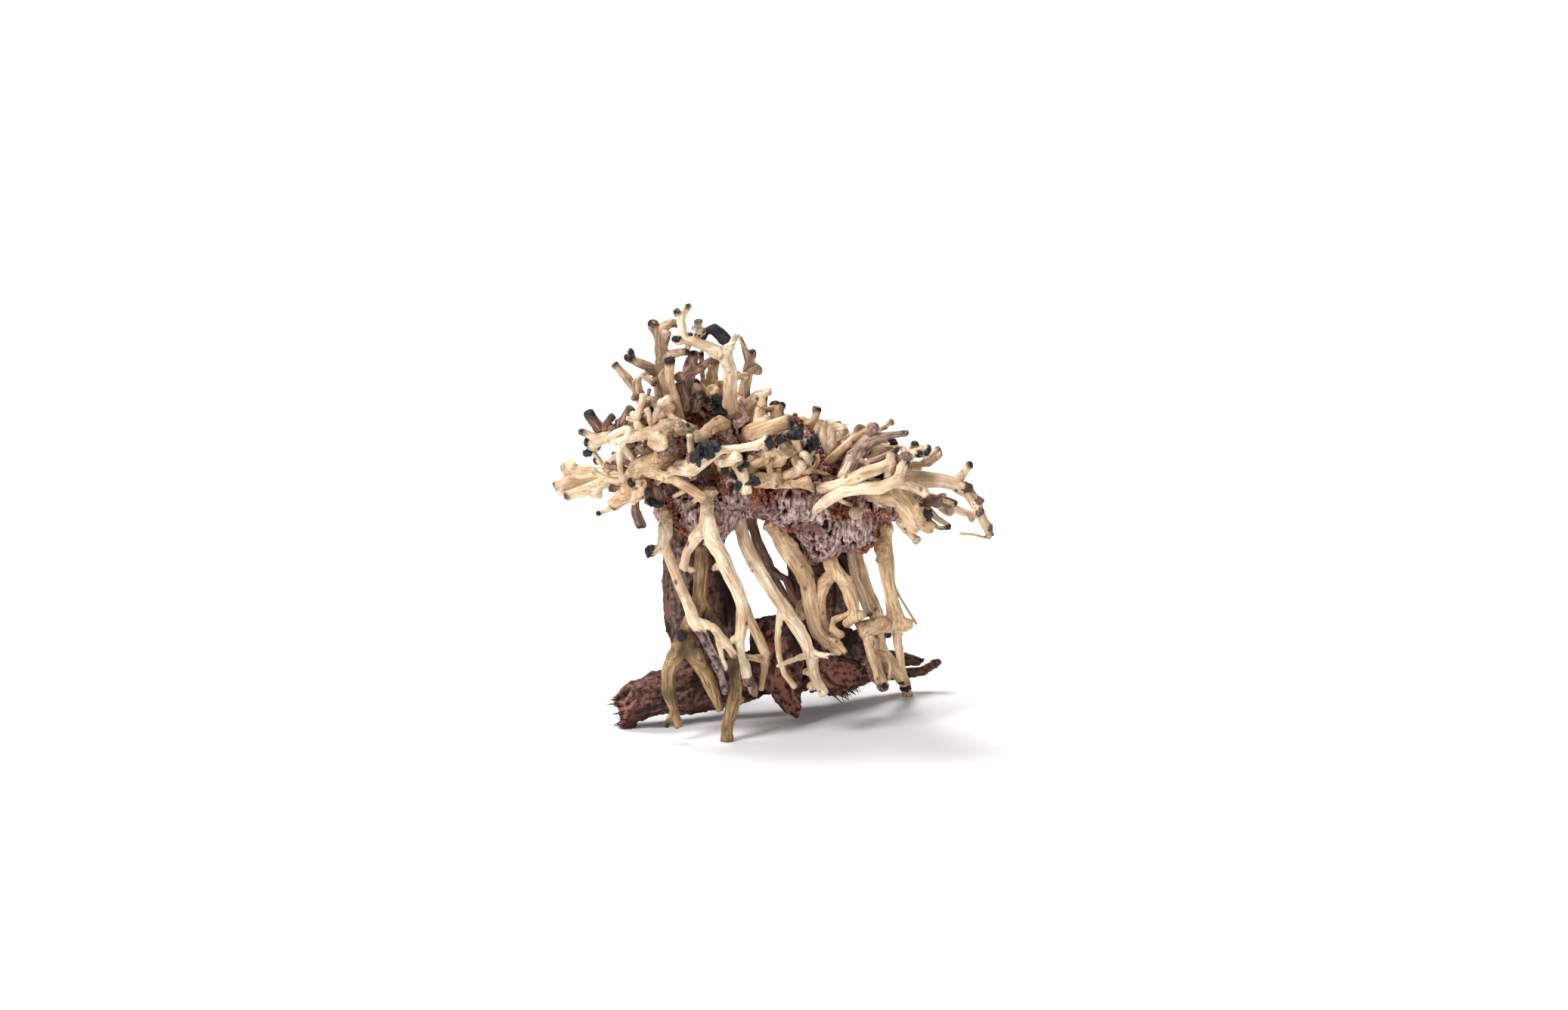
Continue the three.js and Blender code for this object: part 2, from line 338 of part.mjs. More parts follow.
const rightCrown = [
  root('curled_stub_root', 'pale',
    [[24, -2, 106, 2.3], [24.2, -12, 118.4, 1.7], [24.3, -12, 124.6, 1.5], [24.6, -12, 130, 1.4]],
    [[24.2, -10, 115.5, 1.7], [21.8, -10, 121.5, 1.4], [21.3, -9, 125.8, 1.4], [22.4, -8, 128.7, 1.3]],
    [[24.8, -12, 128.7, 1.5], [30, -12.5, 127.4, 1.8]]),
  root('white_thick_root', 'pale',
    [[31, 0, 108, 2.4], [38, -10, 116.3, 2.6], [43, -12, 118.9, 2.8], [47, -13, 120.3, 2.4],
      [50.7, -14, 120, 1.6]],
    [[33, -3, 111, 1.9], [33.8, -2, 119.8, 1.5], [35.6, -2, 128, 1.4]]),
  root('long_diagonal_root', 'tan',
    [[20, -8, 108, 2], [28, -18, 120, 1.5], [33.5, -19, 124.9, 1.5], [38, -18, 128.2, 1.4],
      [43, -17, 129.6, 1.1]]),
  root('mauve_spar', 'mauve',
    [[26, -8, 101, 3], [31.5, -22, 112.8, 3.7], [35, -24, 119.5, 4.4], [38.6, -24, 124.9, 3.4],
      [43, -24, 126.7, 1.9], [49, -24, 127.8, 1.5], [55.2, -24, 128.6, 1]],
    [[34, -25, 117.7, 2], [38, -30, 117.6, 1.2], [42, -31, 119.3, 1], [51.7, -31, 123.9, 0.8]]),
  root('upper_front_root', 'pale',
    [[17, -14, 104, 2], [20.5, -27, 106, 2.1], [25, -31, 108.2, 2.3], [31, -33, 110.7, 2.4],
      [36.5, -34, 113.7, 2.8], [41, -35, 116.2, 2.9], [46.5, -35, 117.1, 2.7], [49.6, -33, 119.3, 2]]),
  root('lower_front_root', 'pale',
    [[16, -14, 92, 1.6], [20.8, -33, 101.2, 2], [25, -35, 105.4, 2.4], [32, -36, 107.7, 2.4],
      [40, -37, 108.8, 2.4], [46.5, -37, 109.5, 2.4], [51, -37, 112.1, 2.6], [52.8, -36, 116.5, 2.5],
      [54.2, -35, 119.9, 1.3]],
    [[50.5, -37, 111.6, 2], [57, -36, 109.2, 2.2], [62.8, -35, 106.1, 1.7]]),
  root('thick_right_hanger', 'tan',
    [[38, -8, 100, 3.4], [48, -25, 103.5, 4.2], [54.5, -28, 103, 4.6], [56.6, -29.5, 98.3, 4.3],
      [57.3, -30, 94.2, 4.1], [59.3, -30, 90.5, 3.9]],
    [[60, -30, 92, 1.8], [63.5, -31, 91.2, 1.2], [67.2, -31, 91.7, 0.6]],
    [[61, -30, 91.5, 1.4], [65.3, -30, 88.3, 0.7]]),
  root('long_right_arm', 'pale',
    [[42, -4, 104, 2.8], [54, -20, 109, 2.9], [60, -22, 108.9, 2.8], [66, -23, 108.7, 2.7],
      [72, -23, 108.1, 2.5], [76.5, -23, 106, 2.3], [80.5, -23, 102.7, 2.2], [83.3, -23, 98, 2.1],
      [85.5, -23, 93, 1.8], [87.5, -23, 88.2, 1.7], [89.3, -23, 84.6, 1.3]],
    [[75, -23, 107, 1.6], [80.7, -25, 115.9, 1.2]],
    [[76, -23.5, 107, 1.3], [79.3, -27, 106.8, 0.9]],
    [[86, -23, 92, 1.3], [89.5, -22, 88.5, 0.9]]),
  root('lower_right_arms', 'pale',
    [[44, -2, 98, 2.3], [58, -14, 100.8, 1.8], [66, -15, 98, 1.7], [72, -16, 96.2, 1.5],
      [78, -17, 93.4, 1.4], [84.5, -19, 92.3, 0.9]],
    [[80.5, -18, 92.8, 1], [82.4, -18, 89.6, 0.7]],
    [[67, -15, 97.5, 1.5], [72.3, -18, 92.9, 1]],
    [[56, -12.5, 100.5, 1.7], [59.5, -20, 98.8, 1.4], [63.5, -23, 96.5, 1.5], [66.8, -25, 93.4, 1.1],
      [72.7, -27, 90, 0.7]],
    [[61.5, -14.5, 99.6, 1.4], [65, -21, 100.9, 1], [74.4, -26, 99.5, 0.7]]),
  root('right_upper_stubs', 'pale',
    [[42, 2, 104, 2], [51, -9, 109.8, 1.9], [54.5, -11, 114.2, 1.8], [57.2, -12, 118.3, 1.7],
      [58.8, -13, 121.6, 1.5]],
    [[51, -9, 110, 1.7], [52, -20, 116.8, 1.7], [57, -22, 119.5, 1.7], [64.2, -24, 122.6, 1.2]],
    [[52, -10, 110.5, 1.6], [60, -13, 112.8, 1.2], [65.5, -15.5, 113.9, 1.1], [69.2, -16, 117.8, 0.8]]),
];

const backCrown = [
  root('back_left_spread', 'tan',
    [[-24, 12, 108, 3.2], [-34, 28, 112, 2.8], [-44, 38, 108, 2.2], [-50, 46, 100, 1.4]],
    [[-36, 30, 111.5, 2], [-38, 42, 114, 1.5], [-34, 50, 110, 0.9]]),
  root('back_middle_spread', 'pale',
    [[-4, 12, 108, 3.4], [-6, 32, 117, 3], [2, 43, 112, 2.6], [0, 53, 104, 1.5]],
    [[-6, 32, 117, 2.4], [-14, 43, 119, 1.8], [-17, 49, 125, 1]]),
  root('back_right_spread', 'tan',
    [[24, 12, 102, 3.2], [34, 26, 104, 2.9], [46, 34, 98, 2.3], [52, 43, 90, 1.4]],
    [[34, 26, 104, 2.2], [35, 40, 108, 1.8], [32, 49, 102, 1.1]]),
  root('back_low_root', 'pale',
    [[0, 14, 98, 3], [-8, 33, 91, 2.6], [-13, 44, 79, 2], [-11, 50, 68, 1.3]],
    [[-8, 33, 91, 1.9], [1, 42, 86, 1.4], [5, 46, 76, 0.9]]),
];

// ---- assembly ----

const floorCut = solidFrom(
  new THREE.BoxGeometry(FLOOR_BLOCK, FLOOR_BLOCK, FLOOR_BLOCK).translate(0, 0, -FLOOR_BLOCK / 2),
);

const boxesMeet = (a, b) => [0, 1, 2].every((axis) => a.min[axis] < b.max[axis] && b.min[axis] < a.max[axis]);

// Each finished piece with the slightly larger twin that cuts room for it out of later pieces.
const placed = [];

// Cuts a new piece clear of the floor and of all earlier ones, and keeps its main body.
function place(name, look, shape) {
  const twin = shape(GLUE_LINE);
  let body = shape(0).subtract(floorCut);
  for (const earlier of placed) {
    if (boxesMeet(body.boundingBox(), earlier.twin.boundingBox())) body = body.subtract(earlier.twin);
  }
  const [main] = body.decompose().sort((a, b) => b.volume() - a.volume());
  placed.push({ name, look, body: main, twin });
}

for (const [name, look, squash, limbs] of timber) {
  const shape = (grow) => joined(limbs.map((points) => limb(points, { grow, sides: TIMBER_SIDES, squash })));
  place(name, look, shape);
}
place('sawdust_binder', 'binder', (grow) => joined(binderMounds.map((size) => mound(size, grow))));
for (const { name, look, limbs } of [...legs, ...leftCrown, ...rightCrown, ...backCrown]) {
  place(name, look, (grow) => joined(limbs.map((points) => limb(points, { grow }))));
}

// Makes the named three.js mesh of one placed piece.
function meshOf({ name, look, body }) {
  const { vertProperties, triVerts } = body.getMesh();
  const geometry = new THREE.BufferGeometry();
  geometry.setAttribute('position', new THREE.BufferAttribute(new Float32Array(vertProperties), 3));
  geometry.setIndex(new THREE.BufferAttribute(new Uint32Array(triVerts), 1));
  geometry.computeVertexNormals();
  const mesh = new THREE.Mesh(geometry, new THREE.MeshStandardMaterial({ ...LOOKS[look], metalness: 0 }));
  mesh.name = name;
  return mesh;
}

const group = new THREE.Group();
group.add(...placed.map(meshOf));

// Brings the middle of the underside to the origin.
const extent = new THREE.Box3().setFromObject(group);
const middle = extent.getCenter(new THREE.Vector3());
group.position.set(-middle.x, -middle.y, -extent.min.z);
group.updateMatrixWorld(true);

export default group;
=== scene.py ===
"""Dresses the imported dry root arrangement: grained roots, driftwood, sawdust binder, twigs and char."""

from __future__ import annotations

import heapq
import json
import logging
import math
from dataclasses import dataclass, field, replace
from enum import Enum

import bmesh
import bpy
import numpy as np
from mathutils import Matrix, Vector
from mathutils.bvhtree import BVHTree


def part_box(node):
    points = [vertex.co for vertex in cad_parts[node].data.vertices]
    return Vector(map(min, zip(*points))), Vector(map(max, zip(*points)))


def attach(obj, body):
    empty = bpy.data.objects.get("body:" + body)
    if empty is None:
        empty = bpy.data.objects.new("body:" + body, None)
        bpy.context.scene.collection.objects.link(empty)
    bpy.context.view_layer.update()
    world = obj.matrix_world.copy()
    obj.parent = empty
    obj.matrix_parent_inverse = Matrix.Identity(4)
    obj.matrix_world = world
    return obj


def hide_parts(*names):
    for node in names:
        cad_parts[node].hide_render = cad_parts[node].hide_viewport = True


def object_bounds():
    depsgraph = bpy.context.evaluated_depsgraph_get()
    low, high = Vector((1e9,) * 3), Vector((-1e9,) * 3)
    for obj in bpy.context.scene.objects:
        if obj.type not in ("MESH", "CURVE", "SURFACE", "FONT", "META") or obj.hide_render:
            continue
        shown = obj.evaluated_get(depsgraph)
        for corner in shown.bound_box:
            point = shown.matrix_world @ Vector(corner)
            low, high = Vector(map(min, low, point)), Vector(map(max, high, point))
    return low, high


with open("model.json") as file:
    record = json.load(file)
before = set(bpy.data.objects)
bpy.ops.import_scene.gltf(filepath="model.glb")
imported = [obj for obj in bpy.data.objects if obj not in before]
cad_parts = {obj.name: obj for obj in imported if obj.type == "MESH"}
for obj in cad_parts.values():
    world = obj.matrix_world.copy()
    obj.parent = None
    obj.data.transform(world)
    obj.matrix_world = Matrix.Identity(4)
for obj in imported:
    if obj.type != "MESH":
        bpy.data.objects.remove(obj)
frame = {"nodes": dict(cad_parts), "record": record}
CAD_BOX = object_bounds()

LOG = logging.getLogger("dry_root")
MM = 0.001
BODY = "root"
BINDER_NODE = "sawdust_binder"

TIMBER_VOXEL = 0.65
ROOT_VOXEL = 0.5
CROWN_FLOOR_M = 0.085
CHAR_FLOOR_MM = 102.0
RAW_ENOUGH_FOR_GRAINS = 0.45
FIRST_WOOD_SEED = 100
FIRST_SPRIG_SEED = 50
FRINGE_SEED = 61
SEED_LIMIT = 1 << 20

Colour = tuple[float, float, float, float]


def srgb(red: int, green: int, blue: int) -> Colour:
    """Turns a display colour into the linear colour that shaders use.

    Args:
        red: Red, 0 to 255.
        green: Green, 0 to 255.
        blue: Blue, 0 to 255.

    Returns:
        The linear colour with full alpha.
    """
    linear = [((c / 255 + 0.055) / 1.055) ** 2.4 if c > 10 else c / 255 / 12.92 for c in (red, green, blue)]
    return (linear[0], linear[1], linear[2], 1.0)


def within(across: float, back: float, up: float) -> np.ndarray:
    """Finds a place from its shares of the whole CAD box.

    Args:
        across: From the left side, 0, to the right side, 1.
        back: From the front, 0, to the back, 1.
        up: From the floor, 0, to the top, 1.

    Returns:
        The place in the frame, in millimetres.
    """
    low, high = np.array(CAD_BOX) / MM
    return low + (high - low) * (across, back, up)


class Kind(Enum):
    """The families of wood that the arrangement is made from."""

    ROOT = "root"
    TIMBER = "timber"


@dataclass(frozen=True)
class Noise:
    """Smooth seeded noise in three dimensions."""

    seed: int
    size: int = 4096

    def at(self, spots: np.ndarray) -> np.ndarray:
        """Gives one octave of noise.

        Args:
            spots: Places as rows of three numbers.

        Returns:
            One value in -1 to 1 for each place.
        """
        table = np.random.default_rng(self.seed).random(self.size) * 2 - 1
        cell = np.floor(spots).astype(np.int64)
        part = spots - cell
        part = part * part * (3 - 2 * part)
        total = np.zeros(len(spots))
        for corner in np.ndindex(2, 2, 2):
            step = cell + np.array(corner)
            mixed = step[:, 0] * 73856093 ^ step[:, 1] * 19349663 ^ step[:, 2] * 83492791
            weight = np.prod(np.where(np.array(corner) == 1, part, 1 - part), axis=1)
            total += table[mixed % self.size] * weight
        return total

    def fractal(self, spots: np.ndarray, octaves: int = 3) -> np.ndarray:
        """Adds finer octaves at half strength each.

        Args:
            spots: Places as rows of three numbers.
            octaves: How many octaves to add.

        Returns:
            One value for each place, mostly in -1 to 1.
        """
        return sum(self.at(spots * 2**k + 17.3 * k) / 2**k for k in range(octaves))


def smooth_step(low: float, high: float, values: np.ndarray) -> np.ndarray:
    """Ramps values softly from 0 at low to 1 at high."""
    t = np.clip((values - low) / (high - low), 0, 1)
    return t * t * (3 - 2 * t)


@dataclass
class Skin:
    """A closed surface in millimetres, with numbers painted on its points."""

    points: np.ndarray
    faces: list[tuple[int, ...]]
    marks: dict[str, np.ndarray] = field(default_factory=dict)

    @staticmethod
    def of_node(node: str, voxel: float) -> Skin:
        """Resurfaces a CAD node evenly.

        Args:
            node: The CAD node's name.
            voxel: The edge length of the new faces in millimetres.

        Returns:
            The even surface.
        """
        data = frame["nodes"][node].data.copy()
        holder = bpy.data.objects.new("resurface", data)
        bpy.context.scene.collection.objects.link(holder)
        remesh = holder.modifiers.new("even", "REMESH")
        remesh.mode = "VOXEL"
        remesh.voxel_size = voxel * MM
        mesh = holder.evaluated_get(bpy.context.evaluated_depsgraph_get()).to_mesh()
        flat = np.empty(len(mesh.vertices) * 3)
        mesh.vertices.foreach_get("co", flat)
        faces = [tuple(face.vertices) for face in mesh.polygons]
        holder.to_mesh_clear()
        bpy.data.objects.remove(holder)
        bpy.data.meshes.remove(data)
        return Skin(flat.reshape(-1, 3) / MM, faces)

    def edges(self) -> tuple[np.ndarray, np.ndarray]:
        """Lists each pair of points that share a face side or a diagonal.

        Returns:
            The first point and the second point of every pair.
        """
        quads = np.array([face for face in self.faces if len(face) == 4])
        sides = [quads[:, [a, b]] for a, b in ((0, 1), (1, 2), (2, 3), (3, 0), (0, 2), (1, 3))]
        rest = [(f[k], f[k - 1]) for f in self.faces if len(f) != 4 for k in range(len(f))]
        if rest:
            sides.append(np.array(rest))
        pairs = np.unique(np.sort(np.concatenate(sides), axis=1), axis=0)
        return pairs[:, 0], pairs[:, 1]

    def blur(self, values: np.ndarray, times: int, amount: float = 0.5, back: float = 0.0) -> np.ndarray:
        """Averages point values with their neighbours.

        Args:
            values: One row of numbers for each point.
            times: How many rounds.
            amount: How far each round goes towards the average.
            back: How far each round then steps back, which keeps thin limbs from shrinking.

        Returns:
            The smoothed values.
        """
        first, second = self.edges()
        count = len(self.points)
        degree = np.bincount(first, minlength=count) + np.bincount(second, minlength=count)
        result = values.reshape(count, -1).copy()
        for _ in range(times):
            for strength in (amount, -back):
                if strength == 0:
                    continue
                for k in range(result.shape[1]):
                    column = result[:, k]
                    near = np.bincount(first, column[second], count)
                    near = near + np.bincount(second, column[first], count)
                    result[:, k] = column + strength * (near / np.maximum(degree, 1) - column)
        return result.reshape(values.shape)

    def normals(self) -> np.ndarray:
        """Gives each point's outward direction.

        Returns:
            One unit direction for each point.
        """
        corners = np.array([face[:4] if len(face) > 3 else (*face, face[0]) for face in self.faces])
        p = self.points
        across = np.cross(p[corners[:, 2]] - p[corners[:, 0]], p[corners[:, 3]] - p[corners[:, 1]])
        total = np.zeros_like(p)
        for k in range(4):
            for axis in range(3):
                total[:, axis] += np.bincount(corners[:, k], across[:, axis], len(p))
        return total / np.maximum(np.linalg.norm(total, axis=1, keepdims=True), 1e-9)

    def piece(self, name: str, finish: bpy.types.Material) -> bpy.types.Object:
        """Makes the Blender object.

        Args:
            name: The piece's name.
            finish: Its material.

        Returns:
            The new object, in metres.
        """
        mesh = bpy.data.meshes.new(name)
        placed = self.points * MM
        placed[:, 2] = np.maximum(placed[:, 2], 0.0)
        mesh.from_pydata(placed.tolist(), [], self.faces)
        for mark, values in self.marks.items():
            form = "FLOAT_VECTOR" if values.ndim == 2 else "FLOAT"
            layer = mesh.attributes.new(mark, form, "POINT")
            entry = "vector" if values.ndim == 2 else "value"
            layer.data.foreach_set(entry, values.astype(np.float32).ravel())
        mesh.polygons.foreach_set("use_smooth", [True] * len(mesh.polygons))
        mesh.materials.append(finish)
        made = bpy.data.objects.new(name, mesh)
        bpy.context.scene.collection.objects.link(made)
        LOG.info("made %s with %d faces", name, len(self.faces))
        return made


def hand_over(skin: Skin, name: str, finish: bpy.types.Material) -> bpy.types.Object:
    """Makes a piece that rides the part's one body.

    Args:
        skin: Its surface.
        name: Its name.
        finish: Its material.

    Returns:
        The new object.
    """
    made = skin.piece(name, finish)
    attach(made, BODY)
    return made


@dataclass
class Skeleton:
    """Follows a limb's branches from its glued base out to its tips."""

    skin: Skin
    base: int
    band: float = 1.1

    def spread(self, sources: list[int]) -> tuple[np.ndarray, np.ndarray]:
        """Measures along the surface from the nearest source.

        Args:
            sources: The points to start from.

        Returns:
            The distance in millimetres, and the nearest source, for each point.
        """
        spans = np.linalg.norm(self.skin.points[self.first] - self.skin.points[self.second], axis=1)
        around: list[list[tuple[int, float]]] = [[] for _ in self.skin.points]
        for a, b, span in zip(self.first.tolist(), self.second.tolist(), spans.tolist()):
            around[a].append((b, span))
            around[b].append((a, span))
        reach = [math.inf] * len(around)
        owner = [0] * len(around)
        queue = [(0.0, source, source) for source in sources]
        heapq.heapify(queue)
        while queue:
            so_far, point, source = heapq.heappop(queue)
            if so_far >= reach[point]:
                continue
            reach[point] = so_far
            owner[point] = source
            for near, span in around[point]:
                if so_far + span < reach[near]:
                    heapq.heappush(queue, (so_far + span, near, source))
        return np.nan_to_num(np.array(reach), posinf=0.0), np.array(owner)

    def rings(self, along: np.ndarray) -> np.ndarray:
        """Numbers the closed bands that lie at one distance on one branch.

        Args:
            along: Each point's distance from the base, in millimetres.

        Returns:
            The band number of each point.
        """
        band = (along / self.band).astype(int)
        parent = list(range(len(along)))

        def top(point: int) -> int:
            """Finds the leading point of a band.

            Args:
                point: Any point of the band.

            Returns:
                The point that stands for the whole band.
            """
            while parent[point] != point:
                parent[point] = parent[parent[point]]
                point = parent[point]
            return point

        same = band[self.first] == band[self.second]
        for a, b in zip(self.first[same].tolist(), self.second[same].tolist()):
            parent[top(a)] = top(b)
        return np.unique([top(k) for k in range(len(along))], return_inverse=True)[1]

    def middle(self, members: np.ndarray, centre: np.ndarray) -> int:
        """Picks the band's point that lies nearest its centre."""
        away = np.linalg.norm(self.skin.points - centre, axis=1)
        return int(np.argmin(np.where(members, away, math.inf)))

    def trace(self) -> None:
        """Paints along, radial, tip distance and tip number on the skin."""
        skin = self.skin
        self.first, self.second = skin.edges()
        along, _ = self.spread([self.base])
        ring = self.rings(along)
        count = ring.max() + 1
        size = np.bincount(ring)
        centre = np.stack([np.bincount(ring, skin.points[:, k]) / size for k in range(3)], axis=1)
        facing = skin.normals()
        aim = np.stack([np.bincount(ring, facing[:, k]) / size for k in range(3)], axis=1)
        goes_on = np.zeros(count, bool)
        ahead = along[self.second] > along[self.first]
        crosses = ring[self.first] != ring[self.second]
        goes_on[ring[self.first[ahead & crosses]]] = True
        goes_on[ring[self.second[~ahead & crosses]]] = True
        is_tip = ~goes_on & (np.linalg.norm(aim, axis=1) > 0.5)
        tips = [self.middle(ring == k, centre[k]) for k in np.flatnonzero(is_tip)]
        tips = tips or [int(np.argmax(along))]
        skin.marks["along"] = along
        skin.marks["radial"] = skin.points - skin.blur(centre[ring], 14)
        skin.marks["tip_gap"], self.owner = self.spread(tips)


class Shades:
    """Adds shader nodes to one new material."""

    COLOUR_SOCKETS = (0, 6, 7)

    def __init__(self, name: str) -> None:
        """Starts a material.

        Args:
            name: The material's name.
        """
        self.material = bpy.data.materials.new(name)
        self.material.use_nodes = True
        self.nodes = self.material.node_tree.nodes
        self.links = self.material.node_tree.links
        self.shader = self.nodes["Principled BSDF"]

    def feed(self, socket: bpy.types.NodeSocket, source: object) -> None:
        """Links a socket, or sets it to a constant.

        Args:
            socket: The input to feed.
            source: Another node's output, or a plain value.
        """
        if isinstance(source, bpy.types.NodeSocket):
            self.links.new(source, socket)
        else:
            socket.default_value = source

    def mark(self, name: str, output: str = "Fac") -> bpy.types.NodeSocket:
        """Reads numbers painted on the mesh.

        Args:
            name: Which painted numbers.
            output: The node's output to read: Fac for one number, Vector for three.

        Returns:
            The painted numbers.
        """
        node = self.nodes.new("ShaderNodeAttribute")
        node.attribute_name = name
        return node.outputs[output]

    def place(self) -> bpy.types.NodeSocket:
        """Gives the place on the object, in metres."""
        return self.nodes.new("ShaderNodeTexCoord").outputs["Object"]

    def maths(self, operation: str, *sources: object, clamp: bool = False) -> bpy.types.NodeSocket:
        """Works out one number from others.

        Args:
            operation: The math node's operation.
            sources: Its inputs, each an output or a plain number.
            clamp: Whether the result is held between 0 and 1.

        Returns:
            The number.
        """
        node = self.nodes.new("ShaderNodeMath")
        node.operation = operation
        node.use_clamp = clamp
        for socket, source in zip(node.inputs, sources):
            self.feed(socket, source)
        return node.outputs[0]

    def noise(
        self, spot: object, scale: float, detail: float = 4.0, w: object = None
    ) -> bpy.types.NodeSocket:
        """Adds a noise, stretched along a limb where w is given.

        Args:
            spot: Where to sample it.
            scale: How fine it is.
            detail: How many finer octaves it has.
            w: The fourth coordinate, or None for a plain noise.

        Returns:
            The noise, from 0 to 1.
        """
        node = self.nodes.new("ShaderNodeTexNoise")
        node.noise_dimensions = "3D" if w is None else "4D"
        self.feed(node.inputs["Vector"], spot)
        if w is not None:
            self.feed(node.inputs["W"], w)
        node.inputs["Scale"].default_value = scale
        node.inputs["Detail"].default_value = detail
        return node.outputs["Fac"]

    def ramp(self, source: object, stops: list[tuple[float, Colour]]) -> bpy.types.NodeSocket:
        """Colours a number by stops along 0 to 1.

        Args:
            source: The number.
            stops: Each stop's place and its colour, in rising order.

        Returns:
            The colour.
        """
        node = self.nodes.new("ShaderNodeValToRGB")
        while len(node.color_ramp.elements) < len(stops):
            node.color_ramp.elements.new(0.5)
        for element, (spot, colour) in zip(node.color_ramp.elements, stops):
            element.position = spot
            element.color = colour
        self.feed(node.inputs["Fac"], source)
        return node.outputs["Color"]

    def between(self, source: object, low: float, high: float) -> bpy.types.NodeSocket:
        """Ramps a number from 0 at low to 1 at high.

        Args:
            source: The number.
            low: Where the ramp starts.
            high: Where it ends.

        Returns:
            The ramped number.
        """
        node = self.nodes.new("ShaderNodeMapRange")
        node.interpolation_type = "SMOOTHSTEP"
        self.feed(node.inputs["Value"], source)
        node.inputs["From Min"].default_value = low
        node.inputs["From Max"].default_value = high
        return node.outputs["Result"]

    def mix(self, share: object, under: object, over: object) -> bpy.types.NodeSocket:
        """Lays one colour over another.

        Args:
            share: How much of the upper colour shows.
            under: The lower colour.
            over: The upper colour.

        Returns:
            The mixed colour.
        """
        node = self.nodes.new("ShaderNodeMix")
        node.data_type = "RGBA"
        shade, under_socket, over_socket = (node.inputs[k] for k in self.COLOUR_SOCKETS)
        self.feed(shade, share)
        self.feed(under_socket, under)
        self.feed(over_socket, over)
        return node.outputs[2]

    def bump(self, height: object, strength: float, depth: float) -> None:
        """Roughens the shader's normal with a height.

        Args:
            height: The height, from 0 to 1.
            strength: How much of it is used.
            depth: How far it reaches, in metres.
        """
        node = self.nodes.new("ShaderNodeBump")
        node.inputs["Strength"].default_value = strength
        node.inputs["Distance"].default_value = depth
        self.feed(node.inputs["Height"], height)
        self.links.new(node.outputs["Normal"], self.shader.inputs["Normal"])

    def gloss(self, roughness: object, specular: float) -> None:
        """Sets how the surface shines."""
        self.feed(self.shader.inputs["Roughness"], roughness)
        self.shader.inputs["Specular IOR Level"].default_value = specular


@dataclass(frozen=True)
class RootFinish:
    """Barkless dry root: pale grain, stains, painted shade in its creases, dark broken ends and dusty glued
    bases.
    """

    name: str
    light: Colour
    middle: Colour
    shade: Colour
    stain: Colour
    tip: Colour = srgb(38, 28, 24)
    stained: float = 0.5

    def build(self) -> bpy.types.Material:
        """Makes the material.

        Returns:
            The finished material.
        """
        s = Shades(self.name)
        along = s.mark("along")
        radial = s.mark("radial", "Vector")
        spot = s.place()
        stretch = s.maths("MULTIPLY", along, 0.09)
        grain = s.noise(radial, 1.3, 5.0, stretch)
        patch = s.noise(spot, 75.0, 3.0)
        fleck = s.noise(spot, 900.0, 3.0)
        colour = s.ramp(grain, [(0.25, self.shade), (0.45, self.middle), (0.62, self.light)])
        stained = s.maths("MULTIPLY", s.between(patch, 0.46, 0.64), self.stained)
        colour = s.mix(stained, colour, self.stain)
        speck = s.maths("MULTIPLY", s.between(fleck, 0.6, 0.72), 0.45)
        colour = s.mix(speck, colour, self.stain)
        # Painted shade: the root's creases are darkened towards the stain colour.
        recess_shade = s.between(s.mark("recess_shade"), 0.0, 1.0)
        colour = s.mix(s.maths("MULTIPLY", recess_shade, 0.4), colour, self.stain)
        bark = s.ramp(s.noise(spot, 520.0, 4.0), [(0.4, srgb(58, 42, 40)), (0.62, srgb(154, 132, 128))])
        colour = s.mix(s.mark("bark"), colour, bark)
        dust = s.maths("MULTIPLY", s.mark("dust"), s.between(s.noise(spot, 420.0, 4.0), 0.38, 0.6))
        colour = s.mix(dust, colour, srgb(138, 82, 58))
        speckle = s.between(s.noise(spot, 500.0, 3.0), 0.25, 0.5)
        char = s.maths("MULTIPLY", s.mark("burnt"), speckle, clamp=True)
        colour = s.mix(char, colour, self.tip)
        colour = s.mix(s.mark("knot"), colour, srgb(86, 60, 44))
        s.feed(s.shader.inputs["Base Color"], colour)
        s.gloss(s.between(grain, -0.9, 1.1), 0.3)
        relief = s.maths("ADD", grain, s.maths("MULTIPLY", fleck, 0.35))
        s.bump(relief, 0.5, 0.0006)
        return s.material


@dataclass(frozen=True)
class TimberFinish:
    """Old heartwood with deep furrows, dark faces, redder broken ones and painted shade in its furrows,
    splits and pits.
    """

    name: str
    light: Colour
    middle: Colour
    dark: Colour
    broken: Colour

    def build(self) -> bpy.types.Material:
        """Makes the material.

        Returns:
            The finished material.
        """
        s = Shades(self.name)
        stretch = s.maths("MULTIPLY", s.mark("along"), 0.05)
        grain = s.noise(s.mark("radial", "Vector"), 0.9, 6.0, stretch)
        spot = s.place()
        patch = s.noise(spot, 70.0, 5.0)
        grit = s.noise(spot, 560.0, 5.0)
        tone = s.maths("ADD", s.maths("MULTIPLY", grain, 0.45), s.maths("MULTIPLY", grit, 0.55))
        colour = s.ramp(tone, [(0.38, self.dark), (0.49, self.middle), (0.6, self.light)])
        colour = s.mix(s.maths("MULTIPLY", s.between(patch, 0.45, 0.58), 0.85), colour, self.dark)
        wear_and_shade = s.maths("ADD", s.maths("MULTIPLY", s.mark("fresh"), 0.9), s.mark("burnt"), clamp=True)
        colour = s.mix(s.maths("MULTIPLY", wear_and_shade, s.between(grit, 0.34, 0.56)), colour, self.broken)
        # Painted shade: furrows, splits and pits are darkened.
        colour = s.mix(s.maths("MULTIPLY", s.mark("recess_shade"), 0.85), colour, self.dark)
        s.feed(s.shader.inputs["Base Color"], colour)
        s.gloss(s.between(grain, -1.6, 0.9), 0.25)
        s.bump(s.maths("ADD", grain, s.maths("MULTIPLY", grit, 0.5)), 0.8, 0.0012)
        return s.material


